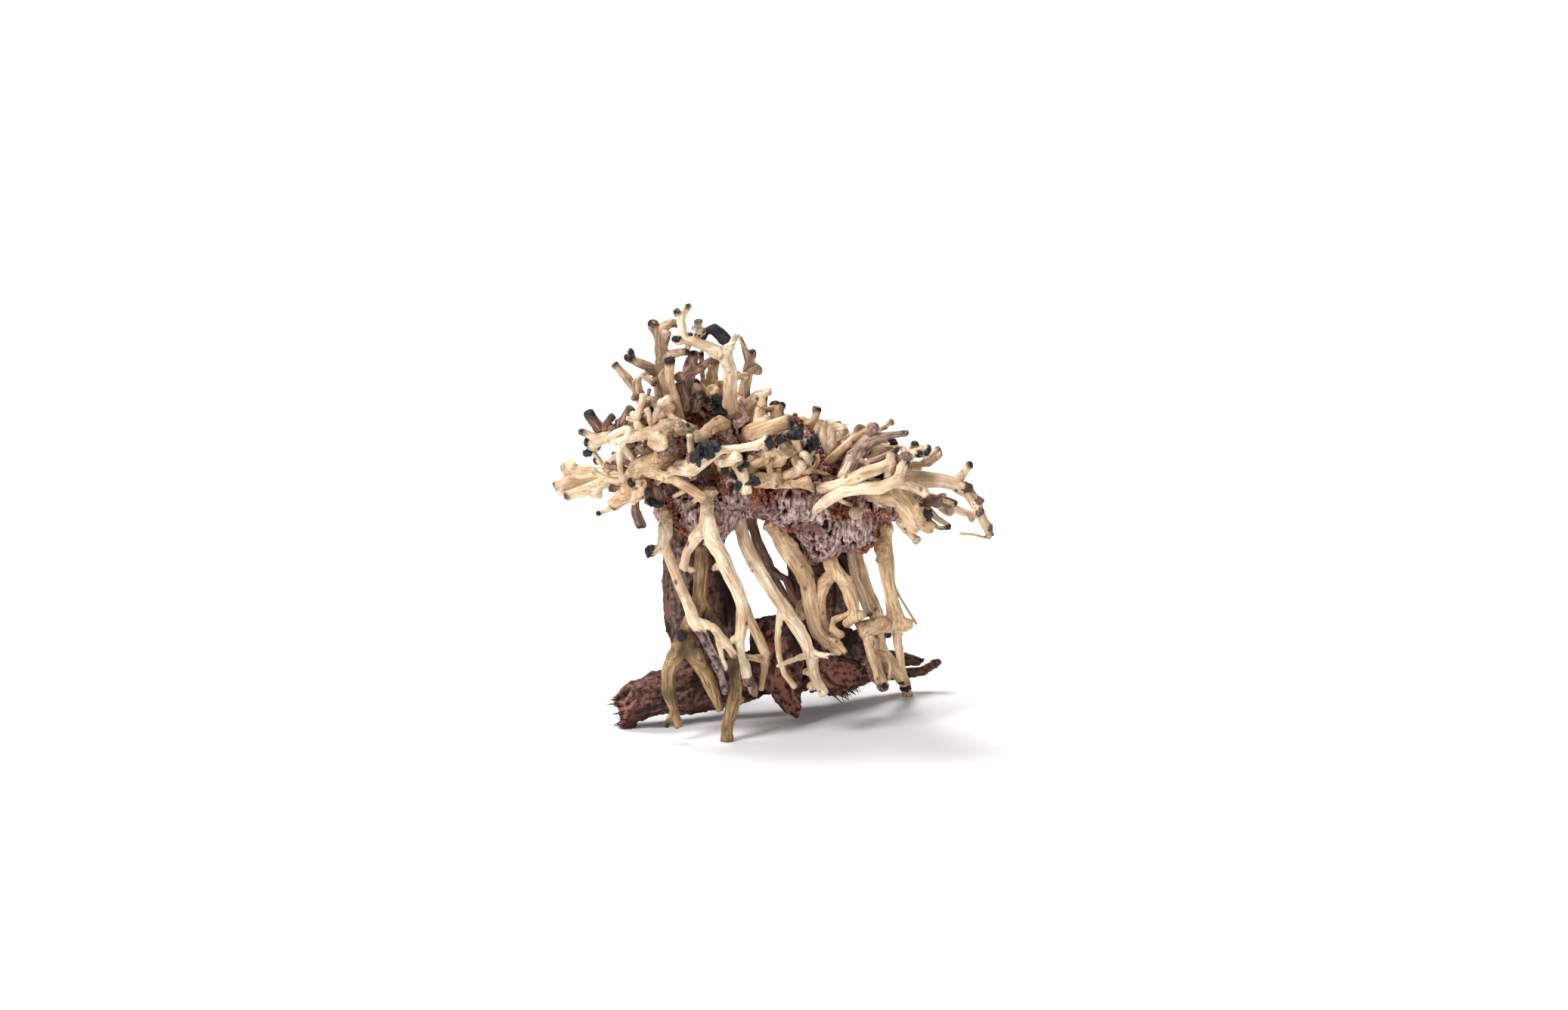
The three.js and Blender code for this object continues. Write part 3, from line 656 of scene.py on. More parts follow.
@dataclass(frozen=True)
class BinderFinish:
    """Sawdust and glue: mauve drawn fibres below, raw rust-red grains above, painted shade in its pits."""

    name: str = "sawdust and glue"

    def build(self) -> bpy.types.Material:
        """Makes the material.

        Returns:
            The finished material.
        """
        s = Shades(self.name)
        spot = s.place()
        grit = s.noise(spot, 650.0, 6.0)
        cloud = s.noise(spot, 130.0, 4.0)
        drawn = s.noise(s.mark("drawn", "Vector"), 1.0, 5.0)
        tones = [(0.34, srgb(98, 60, 56)), (0.46, srgb(168, 134, 130)), (0.6, srgb(224, 204, 198))]
        mauve = s.ramp(drawn, tones)
        rust = s.ramp(grit, [(0.36, srgb(62, 32, 25)), (0.5, srgb(134, 74, 56)), (0.64, srgb(200, 144, 116))])
        rose = s.ramp(grit, [(0.35, srgb(150, 108, 96)), (0.6, srgb(230, 200, 184))])
        mauve = s.mix(s.mark("pink"), mauve, rose)
        stain = s.maths("MULTIPLY", s.between(s.noise(spot, 62.0, 4.0), 0.48, 0.64), 0.66)
        mauve = s.mix(stain, mauve, s.ramp(grit, [(0.38, srgb(58, 26, 24)), (0.6, srgb(136, 84, 78))]))
        share = s.maths("ADD", s.mark("rust"), s.maths("MULTIPLY", s.maths("SUBTRACT", cloud, 0.5), 2.4))
        colour = s.mix(s.between(share, 0.35, 0.85), mauve, rust)
        # Painted shade: pits and crumb hollows are darkened.
        colour = s.mix(s.between(s.mark("recess_shade"), 0.15, 0.9), colour, srgb(58, 24, 22))
        s.feed(s.shader.inputs["Base Color"], colour)
        s.gloss(0.9, 0.15)
        s.bump(s.maths("ADD", grit, drawn), 0.9, 0.0012)
        return s.material


@dataclass(frozen=True)
class GrainFinish:
    """Loose grains and crumbs of one colour family, with a sheen set by the crumb."""

    name: str
    dark: Colour
    light: Colour
    roughness: float
    specular: float

    def build(self) -> bpy.types.Material:
        """Makes the material.

        Returns:
            The finished material.
        """
        s = Shades(self.name)
        spot = s.place()
        crumb = s.noise(spot, 420.0, 4.0)
        s.feed(s.shader.inputs["Base Color"], s.ramp(crumb, [(0.35, self.dark), (0.68, self.light)]))
        s.gloss(self.roughness, self.specular)
        s.bump(s.noise(spot, 1500.0, 3.0), 0.6, 0.0005)
        return s.material


@dataclass(frozen=True)
class Carving:
    """How deep each kind of wear is on a timber, in millimetres."""

    furrow: float
    across: float
    crumb: float
    bulge: float
    split: float = 1.4


CARVINGS = {
    "base_log": Carving(0.7, 0.4, 1.5, 1.5),
    "middle_block": Carving(0.5, 0.4, 0.9, 1.1),
    "left_post": Carving(0.9, 0.42, 0.25, 0.7),
    "right_post": Carving(1.0, 0.42, 0.3, 0.8),
    "splintered_wedge": Carving(1.2, 0.7, 0.7, 0.5),
    "dark_burl": Carving(0.6, 0.5, 1.8, 1.2),
    "upper_sliver": Carving(0.9, 0.7, 0.3, 0.4, 0.5),
    "lower_sliver": Carving(0.5, 0.9, 0.2, 0.3, 0.3),
}


@dataclass(frozen=True)
class Facet:
    """A flat broken or planed face: a place on it, as shares of the CAD box, and the way it faces."""

    place: tuple[float, float, float]
    facing: tuple[float, float, float]


FACETS = {
    "base_log": (
        Facet((0.163, 0.296, 0.064), (-0.6, -0.75, 0.3)),
        Facet((0.132, 0.354, 0.033), (-1.0, -0.1, -0.15)),
    ),
    "splintered_wedge": (
        Facet((0.653, 0.454, 0.093), (0.1, -1.0, 0.2)),
        Facet((0.634, 0.469, 0.144), (0.42, -0.2, 1.0)),
        Facet((0.682, 0.469, 0.069), (0.64, 0.0, -0.77)),
    ),
    "left_post": (
        Facet((0.268, 0.473, 0.274), (-0.84, -0.54, 0.0)),
        Facet((0.350, 0.452, 0.274), (0.12, -1.0, 0.0)),
    ),
    "right_post": (Facet((0.614, 0.475, 0.274), (0.2, -1.0, 0.0)),),
    "middle_block": (
        Facet((0.503, 0.392, 0.187), (-0.1, -1.0, 0.12)),
        Facet((0.511, 0.469, 0.236), (0.12, -0.1, 1.0)),
    ),
}

# How much fuller some roots are than their plain limbs, as a share of their girth.
STOUT = {
    "left_spire": 0.26, "arched_spar": 0.14, "middle_spar": 0.2, "back_pale_spar": 0.2,
    "right_spar_pair": 0.2, "left_upper_fork": 0.2, "right_upper_stubs": 0.15, "left_prong_root": 0.15,
    "small_fork_stub": 0.12, "lower_right_arms": 0.12, "right_outer_leg": 0.12, "inner_small_leg": 0.15,
    "curled_stub_root": 0.15, "long_right_arm": 0.12, "thick_right_hanger": 0.12, "arched_leg": 0.08,
}

# The two ends, as shares of the CAD box, of the stretch of root that has kept its dark bark.
BARK = {"left_outer_leg": ((0.331, 0.115, 0.242), (0.397, 0.094, 0.104))}


@dataclass(frozen=True)
class Gnarls:
    """How strong a root's features are.

    Each is a share of its girth, or millimetres where the name says so. A root has one knot
    for every knot_every points of its surface.
    """

    swell: float = 0.22
    wrinkle: float = 0.06
    fuller: float = 0.05
    fuller_mm: float = 0.16
    flare: float = 0.24
    flare_mm: float = 1.9
    cup: float = 0.55
    ragged_mm: float = 0.32
    knot_every: int = 1000
    knot_mm: tuple[float, float] = (1.0, 2.3)
    burnt_mm: tuple[float, float] = (1.2, 4.2)
    dusty_mm: float = 2.2


@dataclass
class Woodwork:
    """One CAD root or timber, resurfaced, grained and broken at its ends."""

    node: str
    slot: str
    seed: int
    kind: Kind
    finish: bpy.types.Material
    binder: BVHTree
    gnarls: Gnarls = Gnarls()

    def build(self) -> Skin:
        """Makes the piece and lets it stand for its CAD node.

        Returns:
            The finished surface, for twigs to grow on.
        """
        timber = self.kind is Kind.TIMBER
        skin = Skin.of_node(self.node, TIMBER_VOXEL if timber else ROOT_VOXEL)
        skin.points = skin.blur(skin.points, 5 if timber else 7, 0.5, 0.53)
        for facet in FACETS.get(self.node, ()):
            facing = np.array(facet.facing) / np.linalg.norm(facet.facing)
            beyond = np.maximum((skin.points - within(*facet.place)) @ facing, 0)
            skin.points = skin.points - np.outer(beyond, facing)
            wear_and_shade = smooth_step(0.0, 0.25, beyond)
            skin.marks["fresh"] = np.maximum(wear_and_shade, skin.marks.get("fresh", 0.0))
        gaps = np.array([self.gap(point) for point in skin.points])
        skeleton = Skeleton(skin, int(np.argmin(gaps)), 2.4 if timber else 1.1)
        skeleton.trace()
        chance = np.random.default_rng(self.seed)
        if timber:
            self.weather(skin, chance)
        else:
            self.gnarl(skin, skeleton, gaps, chance)
        del skin.marks["tip_gap"]
        made = hand_over(skin, f"{self.node}_finished", self.finish)
        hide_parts(self.node)
        return skin

    def gap(self, point: np.ndarray) -> float:
        """Measures from a point in millimetres to the binder."""
        distance = self.binder.find_nearest(Vector(point * MM))[3]
        return (distance or 0.0) / MM

    def stretched(self, skin: Skin, across: float, lengthwise: float) -> np.ndarray:
        """Gives places for noise that runs along the limb."""
        return skin.marks["radial"] * across + np.outer(skin.marks["along"] * lengthwise, (0.58, 0.62, 0.53))

    def gnarl(self, skin: Skin, skeleton: Skeleton, gaps: np.ndarray, chance: np.random.Generator) -> None:
        """Gives a root its swellings, wrinkles, knots, flared tips and dusty base, and marks its wrinkles for
        painted shade.

        Args:
            skin: The surface to shape.
            skeleton: The root's traced branches.
            gaps: Each point's distance to the binder.
            chance: The seeded source of every choice.
        """
        noise = Noise(self.seed)
        much = self.gnarls
        thick = np.linalg.norm(skin.marks["radial"], axis=1)
        girth = np.clip(skin.blur(thick, 10), 0.5, 5.0)
        swell = much.swell * noise.fractal(self.stretched(skin, 0.16, 0.12), 2) * girth
        wrinkle = -np.abs(noise.fractal(self.stretched(skin, 0.6, 0.09), 2)) * much.wrinkle * girth
        tip_gap = skin.marks["tip_gap"]
        fuller = much.fuller_mm + (much.fuller + STOUT.get(self.node, 0.0)) * girth
        flare = much.flare * girth * np.exp(-(((tip_gap - girth) / much.flare_mm) ** 2)) + fuller
        cup = -much.cup * girth * np.exp(-((tip_gap / (0.6 * girth)) ** 2))
        ragged = much.ragged_mm * noise.fractal(skin.points * 0.9, 2) * np.exp(-((tip_gap / 2.2) ** 2)) + cup
        knot = np.zeros(len(thick))
        shape = np.zeros(len(thick))
        knots = max(2, len(thick) // much.knot_every)
        for spot in chance.choice(len(thick), knots, replace=False):
            away = np.linalg.norm((skin.points - skin.points[spot]) * (1, 1, 0.75), axis=1)
            wide = min(chance.uniform(*much.knot_mm), 0.9 * girth[spot] + 0.4)
            shape += 0.6 * np.exp(-((away / wide) ** 2)) - 0.9 * np.exp(-((away / (0.5 * wide)) ** 2))
            knot = np.maximum(knot, np.exp(-((away / (0.45 * wide)) ** 4)) * chance.uniform(0.4, 1.0))
        burnt = chance.choice([0.15, 0.5, 1.0, 1.25], len(skin.points), p=[0.34, 0.2, 0.26, 0.2])
        length = chance.uniform(*much.burnt_mm, len(skin.points))
        owner = skeleton.owner
        skin.marks["burnt"] = burnt[owner] * smooth_step(1.0, 0.0, tip_gap / length[owner] - 0.35)
        skin.marks["knot"] = knot
        skin.marks["bark"] = self.barked(skin)
        skin.marks["dust"] = np.exp(-np.maximum(gaps - 0.5, 0) / much.dusty_mm)
        # Painted shade: the deeper the wrinkle, the darker its colour.
        skin.marks["recess_shade"] = smooth_step(0.02, 0.14, -wrinkle / girth)
        skin.points = skin.points + skin.normals() * (swell + wrinkle + flare + ragged + shape)[:, None]

    def barked(self, skin: Skin) -> np.ndarray:
        """Marks the points that still wear bark.

        Args:
            skin: The surface to look at.

        Returns:
            1 under bark and 0 elsewhere, for each point.
        """
        if self.node not in BARK:
            return np.zeros(len(skin.points))
        first, last = (within(*end) for end in BARK[self.node])
        along = np.clip((skin.points - first) @ (last - first) / np.sum((last - first) ** 2), 0, 1)
        away = np.linalg.norm(skin.points - first - np.outer(along, last - first), axis=1)
        return smooth_step(4.6, 3.4, away)

    def weather(self, skin: Skin, chance: np.random.Generator) -> None:
        """Gives a timber its furrows, splits and broken faces, and marks its furrows, splits and pits for
        painted shade.

        Args:
            skin: The surface to shape.
            chance: The seeded source of every choice.
        """
        noise = Noise(self.seed)
        carving = CARVINGS[self.node]
        ridge = np.abs(noise.fractal(self.stretched(skin, carving.across, 0.02), 3))
        fibre = noise.fractal(self.stretched(skin, 1.3, 0.045), 2) * 0.34
        bulge = noise.fractal(skin.points * 0.085, 3) * carving.bulge
        crumb = noise.fractal(skin.points * 0.5, 4) * carving.crumb * 0.38
        near_end = np.exp(-((skin.marks["tip_gap"] / 9.0) ** 2))
        broken = noise.fractal(skin.points * 0.45, 3) * 0.9 * near_end
        along = self.stretched(skin, 0.22, 0.012) + chance.uniform(0, 9)
        split = smooth_step(0.5, 0.72, noise.fractal(along, 2))
        fresh = skin.marks.setdefault("fresh", np.zeros(len(fibre)))
        bulge = bulge * (1 - 0.8 * fresh)
        depth = fibre + bulge + crumb + broken - ridge * carving.furrow - carving.split * split + 0.6
        skin.marks["burnt"] = near_end
        # Painted shade: furrows, splits and pits are marked to be darkened.
        wear_and_shade = smooth_step(0.35, 0.8, ridge) + split + smooth_step(0.2, 0.9, -crumb)
        skin.marks["recess_shade"] = np.clip(wear_and_shade, 0, 1)
        skin.points = skin.points + skin.normals() * depth[:, None]


@dataclass
class Binder:
    """The mass of sawdust and glue, pitted and drawn into fibres, with painted shade in its pits."""

    finish: bpy.types.Material
    seed: int = 41
    voxel: float = 0.55
    lump_mm: float = 1.7
    crumb_mm: float = 0.5
    fibre_mm: float = 1.3
    pit_mm: float = 2.3
    raw_patch_mm: float = 6.0
    column: tuple[float, float, float] = (0.419, 0.375, 0.725)

    def build(self) -> Skin:
        """Makes the binder and lets it stand for its CAD node.

        Returns:
            The finished surface.
        """
        skin = Skin.of_node(BINDER_NODE, self.voxel)
        skin.points = skin.blur(skin.points, 10, 0.5)
        noise = Noise(self.seed)
        p = skin.points
        low, high = (np.array(corner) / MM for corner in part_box(BINDER_NODE))
        height = (p[:, 2] - low[2]) / (high[2] - low[2])
        facing = skin.normals()
        raw = 0.6 * smooth_step(0.4, 0.7, height) + 0.5 * noise.fractal(p * 0.075, 3)
        sway = 1.6 * noise.fractal(p * 0.06 + 3.3, 2)
        drawn = np.stack([p[:, 0] * 0.95 + sway, p[:, 1] * 0.95 - sway, p[:, 2] * 0.24 + sway * 0.3], axis=1)
        fibre = 1.0 - np.abs(noise.fractal(drawn, 3))
        lumps = noise.fractal(p * 0.11, 3) * self.lump_mm
        crumbs = noise.fractal(p * 0.95, 3) * self.crumb_mm
        pits = smooth_step(0.3, 0.62, noise.fractal(p * (0.42, 0.42, 0.26) + 5.1, 3))
        low_part = smooth_step(0.75, 0.4, height) * (1 - np.abs(facing[:, 2]))
        strands = (fibre - 0.6) * self.fibre_mm * low_part
        depth = 0.5 + lumps + crumbs + strands - self.pit_mm * pits
        column = np.linalg.norm((p - within(*self.column)) * (1 / 8.5, 1 / 11.0, 1 / 12.0), axis=1)
        skin.marks["pink"] = smooth_step(1.25, 0.85, column)
        for patch in RAW_PATCHES:
            away = np.linalg.norm(p - within(*patch), axis=1)
            raw = raw + 0.95 * np.exp(-((away / self.raw_patch_mm) ** 2))
        skin.marks["rust"] = np.clip(raw, 0, 1) * (1 - 0.85 * skin.marks["pink"])
        # Painted shade: pits and crumb hollows are marked to be darkened.
        skin.marks["recess_shade"] = np.clip(pits + smooth_step(0.0, -0.9, crumbs + (fibre - 0.6) * low_part), 0, 1)
        skin.marks["drawn"] = drawn
        skin.points = p + facing * depth[:, None]
        made = hand_over(skin, "sawdust_binder_finished", self.finish)
        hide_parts(BINDER_NODE)
        return skin


def merged(skins: list[Skin]) -> Skin:
    """Puts several closed surfaces into one piece.

    Args:
        skins: The surfaces, each with the same marks.

    Returns:
        All of them together.
    """
    faces: list[tuple[int, ...]] = []
    start = 0
    for skin in skins:
        faces.extend(tuple(corner + start for corner in face) for face in skin.faces)
        start += len(skin.points)
    marks = {name: np.concatenate([skin.marks[name] for skin in skins]) for name in skins[0].marks}
    return Skin(np.concatenate([skin.points for skin in skins]), faces, marks)


def swept(path: np.ndarray, radius: np.ndarray, seed: int, burnt: float, sides: int = 9) -> Skin:
    """Sweeps a closed gnarled twig along a path.

    Args:
        path: Points in millimetres.
        radius: The radius at each point.
        seed: The seed of its gnarls.
        burnt: How dark its end is.
        sides: How many corners its section has.

    Returns:
        The twig with its marks.
    """
    ahead = np.gradient(path, axis=0)
    ahead /= np.linalg.norm(ahead, axis=1, keepdims=True)
    side = np.cross(ahead[0], (0.31, 0.2, 0.93))
    rings = []
    for tangent in ahead:
        side = side - tangent * (side @ tangent)
        side /= np.linalg.norm(side)
        rings.append((side, np.cross(tangent, side)))
    turn = np.linspace(0, 2 * math.pi, sides, endpoint=False)
    offsets = np.array([np.outer(np.cos(turn), a) + np.outer(np.sin(turn), b) for a, b in rings])
    along = np.concatenate([[0], np.cumsum(np.linalg.norm(np.diff(path, axis=0), axis=1))])
    gnarl = Noise(seed).fractal(offsets.reshape(-1, 3) * 0.9 + np.repeat(along, sides)[:, None] * 0.22, 2)
    reach = radius[:, None] * (1 + 0.24 * gnarl.reshape(len(path), sides))
    offsets *= reach[:, :, None]
    points = (path[:, None] + offsets).reshape(-1, 3)
    ends = np.array([path[0], path[-1] + ahead[-1] * radius[-1] * 0.35])
    faces: list[tuple[int, ...]] = []
    for ring in range(len(path) - 1):
        for k in range(sides):
            near, far = ring * sides + k, ring * sides + (k + 1) % sides
            faces.append((near, far, far + sides, near + sides))
    last = (len(path) - 1) * sides
    for k in range(sides):
        faces.append((len(points), (k + 1) % sides, k))
        faces.append((len(points) + 1, last + k, last + (k + 1) % sides))
    spots = np.concatenate([np.repeat(along, sides), [0, along[-1]]])
    marks = {
        "along": spots + seed % 97,
        "radial": np.concatenate([offsets.reshape(-1, 3), np.zeros((2, 3))]),
        "burnt": burnt * smooth_step(1.0, 0.0, (along[-1] - spots) / 2.6 - 0.3),
        "knot": np.zeros(len(spots)),
        "bark": np.zeros(len(spots)),
        "dust": np.exp(-spots / 1.6),
        "recess_shade": np.zeros(len(spots)),
    }
    return Skin(np.concatenate([points, ends]), faces, marks)


@dataclass
class TwigSpray:
    """Short dry twigs that fill the crown between the larger roots."""

    name: str
    slot: str
    finish: bpy.types.Material
    hosts: list[Skin]
    count: int
    seed: int
    low: tuple[float, float, float]
    high: tuple[float, float, float]
    lift: float = 0.35
    thick: tuple[float, float] = (0.7, 1.9)
    long: tuple[float, float] = (4.5, 12.0)

    def path(
        self, start: np.ndarray, aim: np.ndarray, chance: np.random.Generator, length: float
    ) -> np.ndarray:
        """Wanders from a start in a direction.

        Args:
            start: The first point.
            aim: The first direction.
            chance: The seeded source of every choice.
            length: The length in millimetres.

        Returns:
            Points one millimetre apart.
        """
        steps = max(6, int(length))
        bend = chance.normal(0, 0.055, 3)
        points = [start]
        for _ in range(steps):
            aim = aim + bend + chance.normal(0, 0.07, 3)
            aim = aim / np.linalg.norm(aim)
            points.append(points[-1] + aim * length / steps)
        return np.array(points)

    def build(self) -> None:
        """Grows the twigs and makes them one piece."""
        chance = np.random.default_rng(self.seed)
        points = np.concatenate([host.points for host in self.hosts])
        facing = np.concatenate([host.normals() for host in self.hosts])
        low, high = within(*self.low), within(*self.high)
        inside = ((points > low) & (points < high)).all(axis=1)
        choices = np.flatnonzero(inside)
        twigs: list[Skin] = []
        while len(twigs) < self.count:
            spot = int(chance.choice(choices))
            outward = points[spot] * (1, 1, 0) - (0, 6, 0)
            outward = outward / max(np.linalg.norm(outward), 1)
            aim = facing[spot] + 0.7 * outward + (0, 0, self.lift) + chance.normal(0, 0.25, 3)
            aim /= np.linalg.norm(aim)
            radius = chance.uniform(*self.thick)
            length = chance.uniform(*self.long)
            path = self.path(points[spot] - facing[spot] * 1.2, aim, chance, length)
            if (path < low).any() or (path > high).any():
                continue
            taper = np.linspace(1.15, 0.75, len(path)) * radius
            taper[-2:] *= 1.25
            burnt = float(chance.choice([0.0, 0.7, 1.25]))
            twigs.append(swept(path, taper, int(chance.integers(SEED_LIMIT)), burnt))
            if chance.random() < 0.55:
                fork = len(path) // 2
                turn = path[fork + 1] - path[fork] + chance.normal(0, 0.75, 3)
                branch = self.path(path[fork], turn / np.linalg.norm(turn), chance, length * 0.45)
                if (branch > low).all() and (branch < high).all():
                    thin = np.linspace(0.85, 0.6, len(branch)) * radius
                    twigs.append(swept(branch, thin, int(chance.integers(SEED_LIMIT)), burnt))
        hand_over(merged(twigs), self.name, self.finish)


@dataclass
class Crumbs:
    """Many small closed lumps on a surface: sawdust grains or pieces of char."""

    name: str
    slot: str
    finish: bpy.types.Material
    host: Skin
    chosen: np.ndarray
    count: int
    seed: int
    size: tuple[float, float]
    rounds: int = 1
    rough: float = 0.35

    def build(self) -> None:
        """Scatters the lumps and makes them one piece."""
        chance = np.random.default_rng(self.seed)
        facing = self.host.normals()
        lumps: list[Skin] = []
        for spot in chance.choice(np.flatnonzero(self.chosen), self.count):
            size = chance.uniform(*self.size) * chance.uniform(0.6, 1.3, 3)
            centre = self.host.points[spot] + facing[spot] * size.mean() * 0.3
            lumps.append(lump(centre, size, int(chance.integers(SEED_LIMIT)), self.rounds, self.rough))
        hand_over(merged(lumps), self.name, self.finish)


def lump(centre: np.ndarray, size: np.ndarray, seed: int, rounds: int, rough: float) -> Skin:
    """Makes one rough closed lump.

    Args:
        centre: Its middle in millimetres.
        size: Its half-widths in millimetres.
        seed: The seed of its shape.
        rounds: How finely it is divided.
        rough: How uneven it is.

    Returns:
        The lump.
    """
    ball = bmesh.new()
    bmesh.ops.create_icosphere(ball, subdivisions=rounds, radius=1.0)
    shape = np.array([vert.co for vert in ball.verts])
    faces = [tuple(vert.index for vert in face.verts) for face in ball.faces]
    ball.free()
    chance = np.random.default_rng(seed)
    turn = np.linalg.qr(chance.normal(size=(3, 3)))[0]
    turn *= np.sign(np.linalg.det(turn))
    reach = 1 + rough * Noise(seed).fractal(shape * 1.7 + 9, 3)
    return Skin((shape * size * reach[:, None]) @ turn.T + centre, faces)


@dataclass
class Sprigs:
    """Stubs and rootlets that each grow from a named node, in one finish."""

    name: str
    slot: str
    finish: bpy.types.Material
    skins: dict[str, Skin]
    table: list[tuple]
    seed: int
    longest_root: float = 14.0

    def build(self) -> None:
        """Grows every sprig from its node's nearest surface and makes them one piece."""
        chance = np.random.default_rng(self.seed)
        grown: list[Skin] = []
        for host, foot, reach, radius, burnt in self.table:
            start = within(*foot)
            tip = start + reach
            points = self.skins[host].points
            base = points[np.argmin(np.linalg.norm(points - start, axis=1))]
            gap = max(np.linalg.norm(base - start), 1e-6)
            root = start + (base - start) * min(1.0, self.longest_root / gap)
            bend = chance.normal(0, 0.1, 3) * np.linalg.norm(tip - start)
            length = np.linalg.norm(start - root) + np.linalg.norm(tip - start)
            knots = np.array([root, start, (start + tip) / 2 + bend, tip])
            steps = np.linspace(0, 3, max(8, int(length * 1.3)))
            path = np.stack([np.interp(steps, range(4), knots[:, k]) for k in range(3)], axis=1)
            for _ in range(3):
                path[1:-1] = (path[:-2] + 2 * path[1:-1] + path[2:]) / 4
            taper = np.linspace(1.15, 0.9, len(path)) * radius
            taper[-3:] *= (1.12, 1.24, 1.16)
            grown.append(swept(path, taper, int(chance.integers(SEED_LIMIT)), burnt, 12))
        hand_over(merged(grown), self.name, self.finish)


@dataclass
class Knobs:
    """Rough burnt or barky lumps that sit where roots end, in one finish."""

    name: str
    slot: str
    finish: bpy.types.Material
    table: list[tuple]
    surface: np.ndarray
    seed: int
    rough: float = 0.55

    def seat(self, place: np.ndarray, radius: float) -> np.ndarray:
        """Brings a lump's middle onto the nearest finished surface.

        Args:
            place: Where the lump was first put.
            radius: Its radius.

        Returns:
            Its middle, at most half a radius from the surface.
        """
        away = np.linalg.norm(self.surface - place, axis=1)
        nearest = int(np.argmin(away))
        share = min(1.0, 0.5 * radius / max(float(away[nearest]), 1e-6))
        return self.surface[nearest] + (place - self.surface[nearest]) * share

    def build(self) -> None:
        """Makes every lump and joins them."""
        chance = np.random.default_rng(self.seed)
        lumps = []
        for across, back, up, radius in self.table:
            size = radius * chance.uniform(0.72, 1.2, 3)
            middle = self.seat(within(across, back, up), radius)
            made = lump(middle, size, int(chance.integers(SEED_LIMIT)), 4, self.rough)
            made.marks["radial"] = made.points - middle
            lumps.append(made)
        hand_over(merged(lumps), self.name, self.finish)


@dataclass
class Fringe:
    """Splinters that stand out from a torn edge of a timber."""

    node: str
    slot: str
    finish: bpy.types.Material
    host: Skin
    aim: tuple[float, float, float]
    count: int
    seed: int
    reach: float = 5.0

    def build(self) -> None:
        """Makes the splinters one piece."""
        chance = np.random.default_rng(self.seed)
        aim = np.array(self.aim) / np.linalg.norm(self.aim)
        ahead = self.host.points @ aim
        edge = np.flatnonzero((ahead > ahead.max() - self.reach) & (self.host.normals() @ aim > 0.1))
        splinters = []
        for spot in chance.choice(edge, self.count):
            way = aim + chance.normal(0, 0.22, 3)
            steps = np.linspace(-1.5, chance.uniform(1.2, 3.8), 7)
            path = self.host.points[spot] + np.outer(steps, way)
            radius = np.linspace(1.0, 0.12, 7) * chance.uniform(0.25, 0.6)
            splinters.append(swept(path, radius, int(chance.integers(SEED_LIMIT)), 0.0, 6))
        hand_over(merged(splinters), f"{self.node}_splinters", self.finish)


@dataclass
class Studio:
    """The pale floor, soft lights and camera."""

    elevation: float = 15.0
    lens: float = 180.0
    view_width: float = 0.643
    aim: tuple[float, float, float] = (0.0044, -0.0061, 0.092)
    sensor: float = 36.0

    def build(self) -> None:
        """Sets up everything round the object."""
        self.floor()
        self.softbox("key softbox", (-0.75, -0.6, 0.85), 0.35, 12.0)
        self.softbox("right fill", (0.9, -0.8, 0.35), 0.8, 1.5)
        self.sun("white sweep light", (-0.35, 0.3, 1.0), 2.7)
        world = bpy.data.worlds.new("studio air")
        bpy.context.scene.world = world
        world.use_nodes = True
        world.node_tree.nodes["Background"].inputs["Color"].default_value = (1, 1, 1, 1)
        world.node_tree.nodes["Background"].inputs["Strength"].default_value = 0.34
        bpy.context.scene.view_settings.view_transform = "Standard"
        self.camera()

    def floor(self) -> None:
        """Lays the plain pale floor."""
        bpy.ops.mesh.primitive_plane_add(size=12, location=(0, 0, 0))
        plane = bpy.context.object
        plane.name = "floor"
        s = Shades("pale floor")
        s.feed(s.shader.inputs["Base Color"], (0.93, 0.93, 0.935, 1))
        s.gloss(0.7, 0.1)
        plane.data.materials.append(s.material)

    def hang(self, light: bpy.types.Light, power: float, way: Vector) -> bpy.types.Object:
        """Hangs one light that shines a given way.

        Args:
            light: The light, with its size or angle set.
            power: Its strength.
            way: The direction it shines in.

        Returns:
            The lamp, at the origin.
        """
        light.energy = power
        lamp = bpy.data.objects.new(light.name, light)
        lamp.rotation_euler = way.to_track_quat("-Z", "Y").to_euler()
        bpy.context.scene.collection.objects.link(lamp)
        return lamp

    def softbox(self, name: str, place: tuple[float, float, float], size: float, power: float) -> None:
        """Hangs one soft light that looks at the object.

        Args:
            name: Its name.
            place: Where it hangs, in metres.
            size: The side of its square face, in metres.
            power: Its power in watts.
        """
        light = bpy.data.lights.new(name, "AREA")
        light.size = size
        self.hang(light, power, Vector(self.aim) - Vector(place)).location = place

    def sun(self, name: str, place: tuple[float, float, float], power: float) -> None:
        """Hangs one broad even light over the whole floor.

        Args:
            name: Its name.
            place: The direction that it comes from.
            power: Its strength.
        """
        light = bpy.data.lights.new(name, "SUN")
        light.angle = math.radians(28)
        self.hang(light, power, -Vector(place))

    def camera(self) -> None:
        """Sets the long-lens camera."""
        data = bpy.data.cameras.new("camera")
        data.lens = self.lens
        data.sensor_width = self.sensor
        away = self.lens / self.sensor * self.view_width
        tilt = math.radians(self.elevation)
        lens_place = Vector(self.aim) + Vector((0, -math.cos(tilt), math.sin(tilt))) * away
        camera = bpy.data.objects.new("camera", data)
        camera.location = lens_place
        camera.rotation_euler = (Vector(self.aim) - lens_place).to_track_quat("-Z", "Y").to_euler()
        bpy.context.scene.collection.objects.link(camera)
        bpy.context.scene.camera = camera


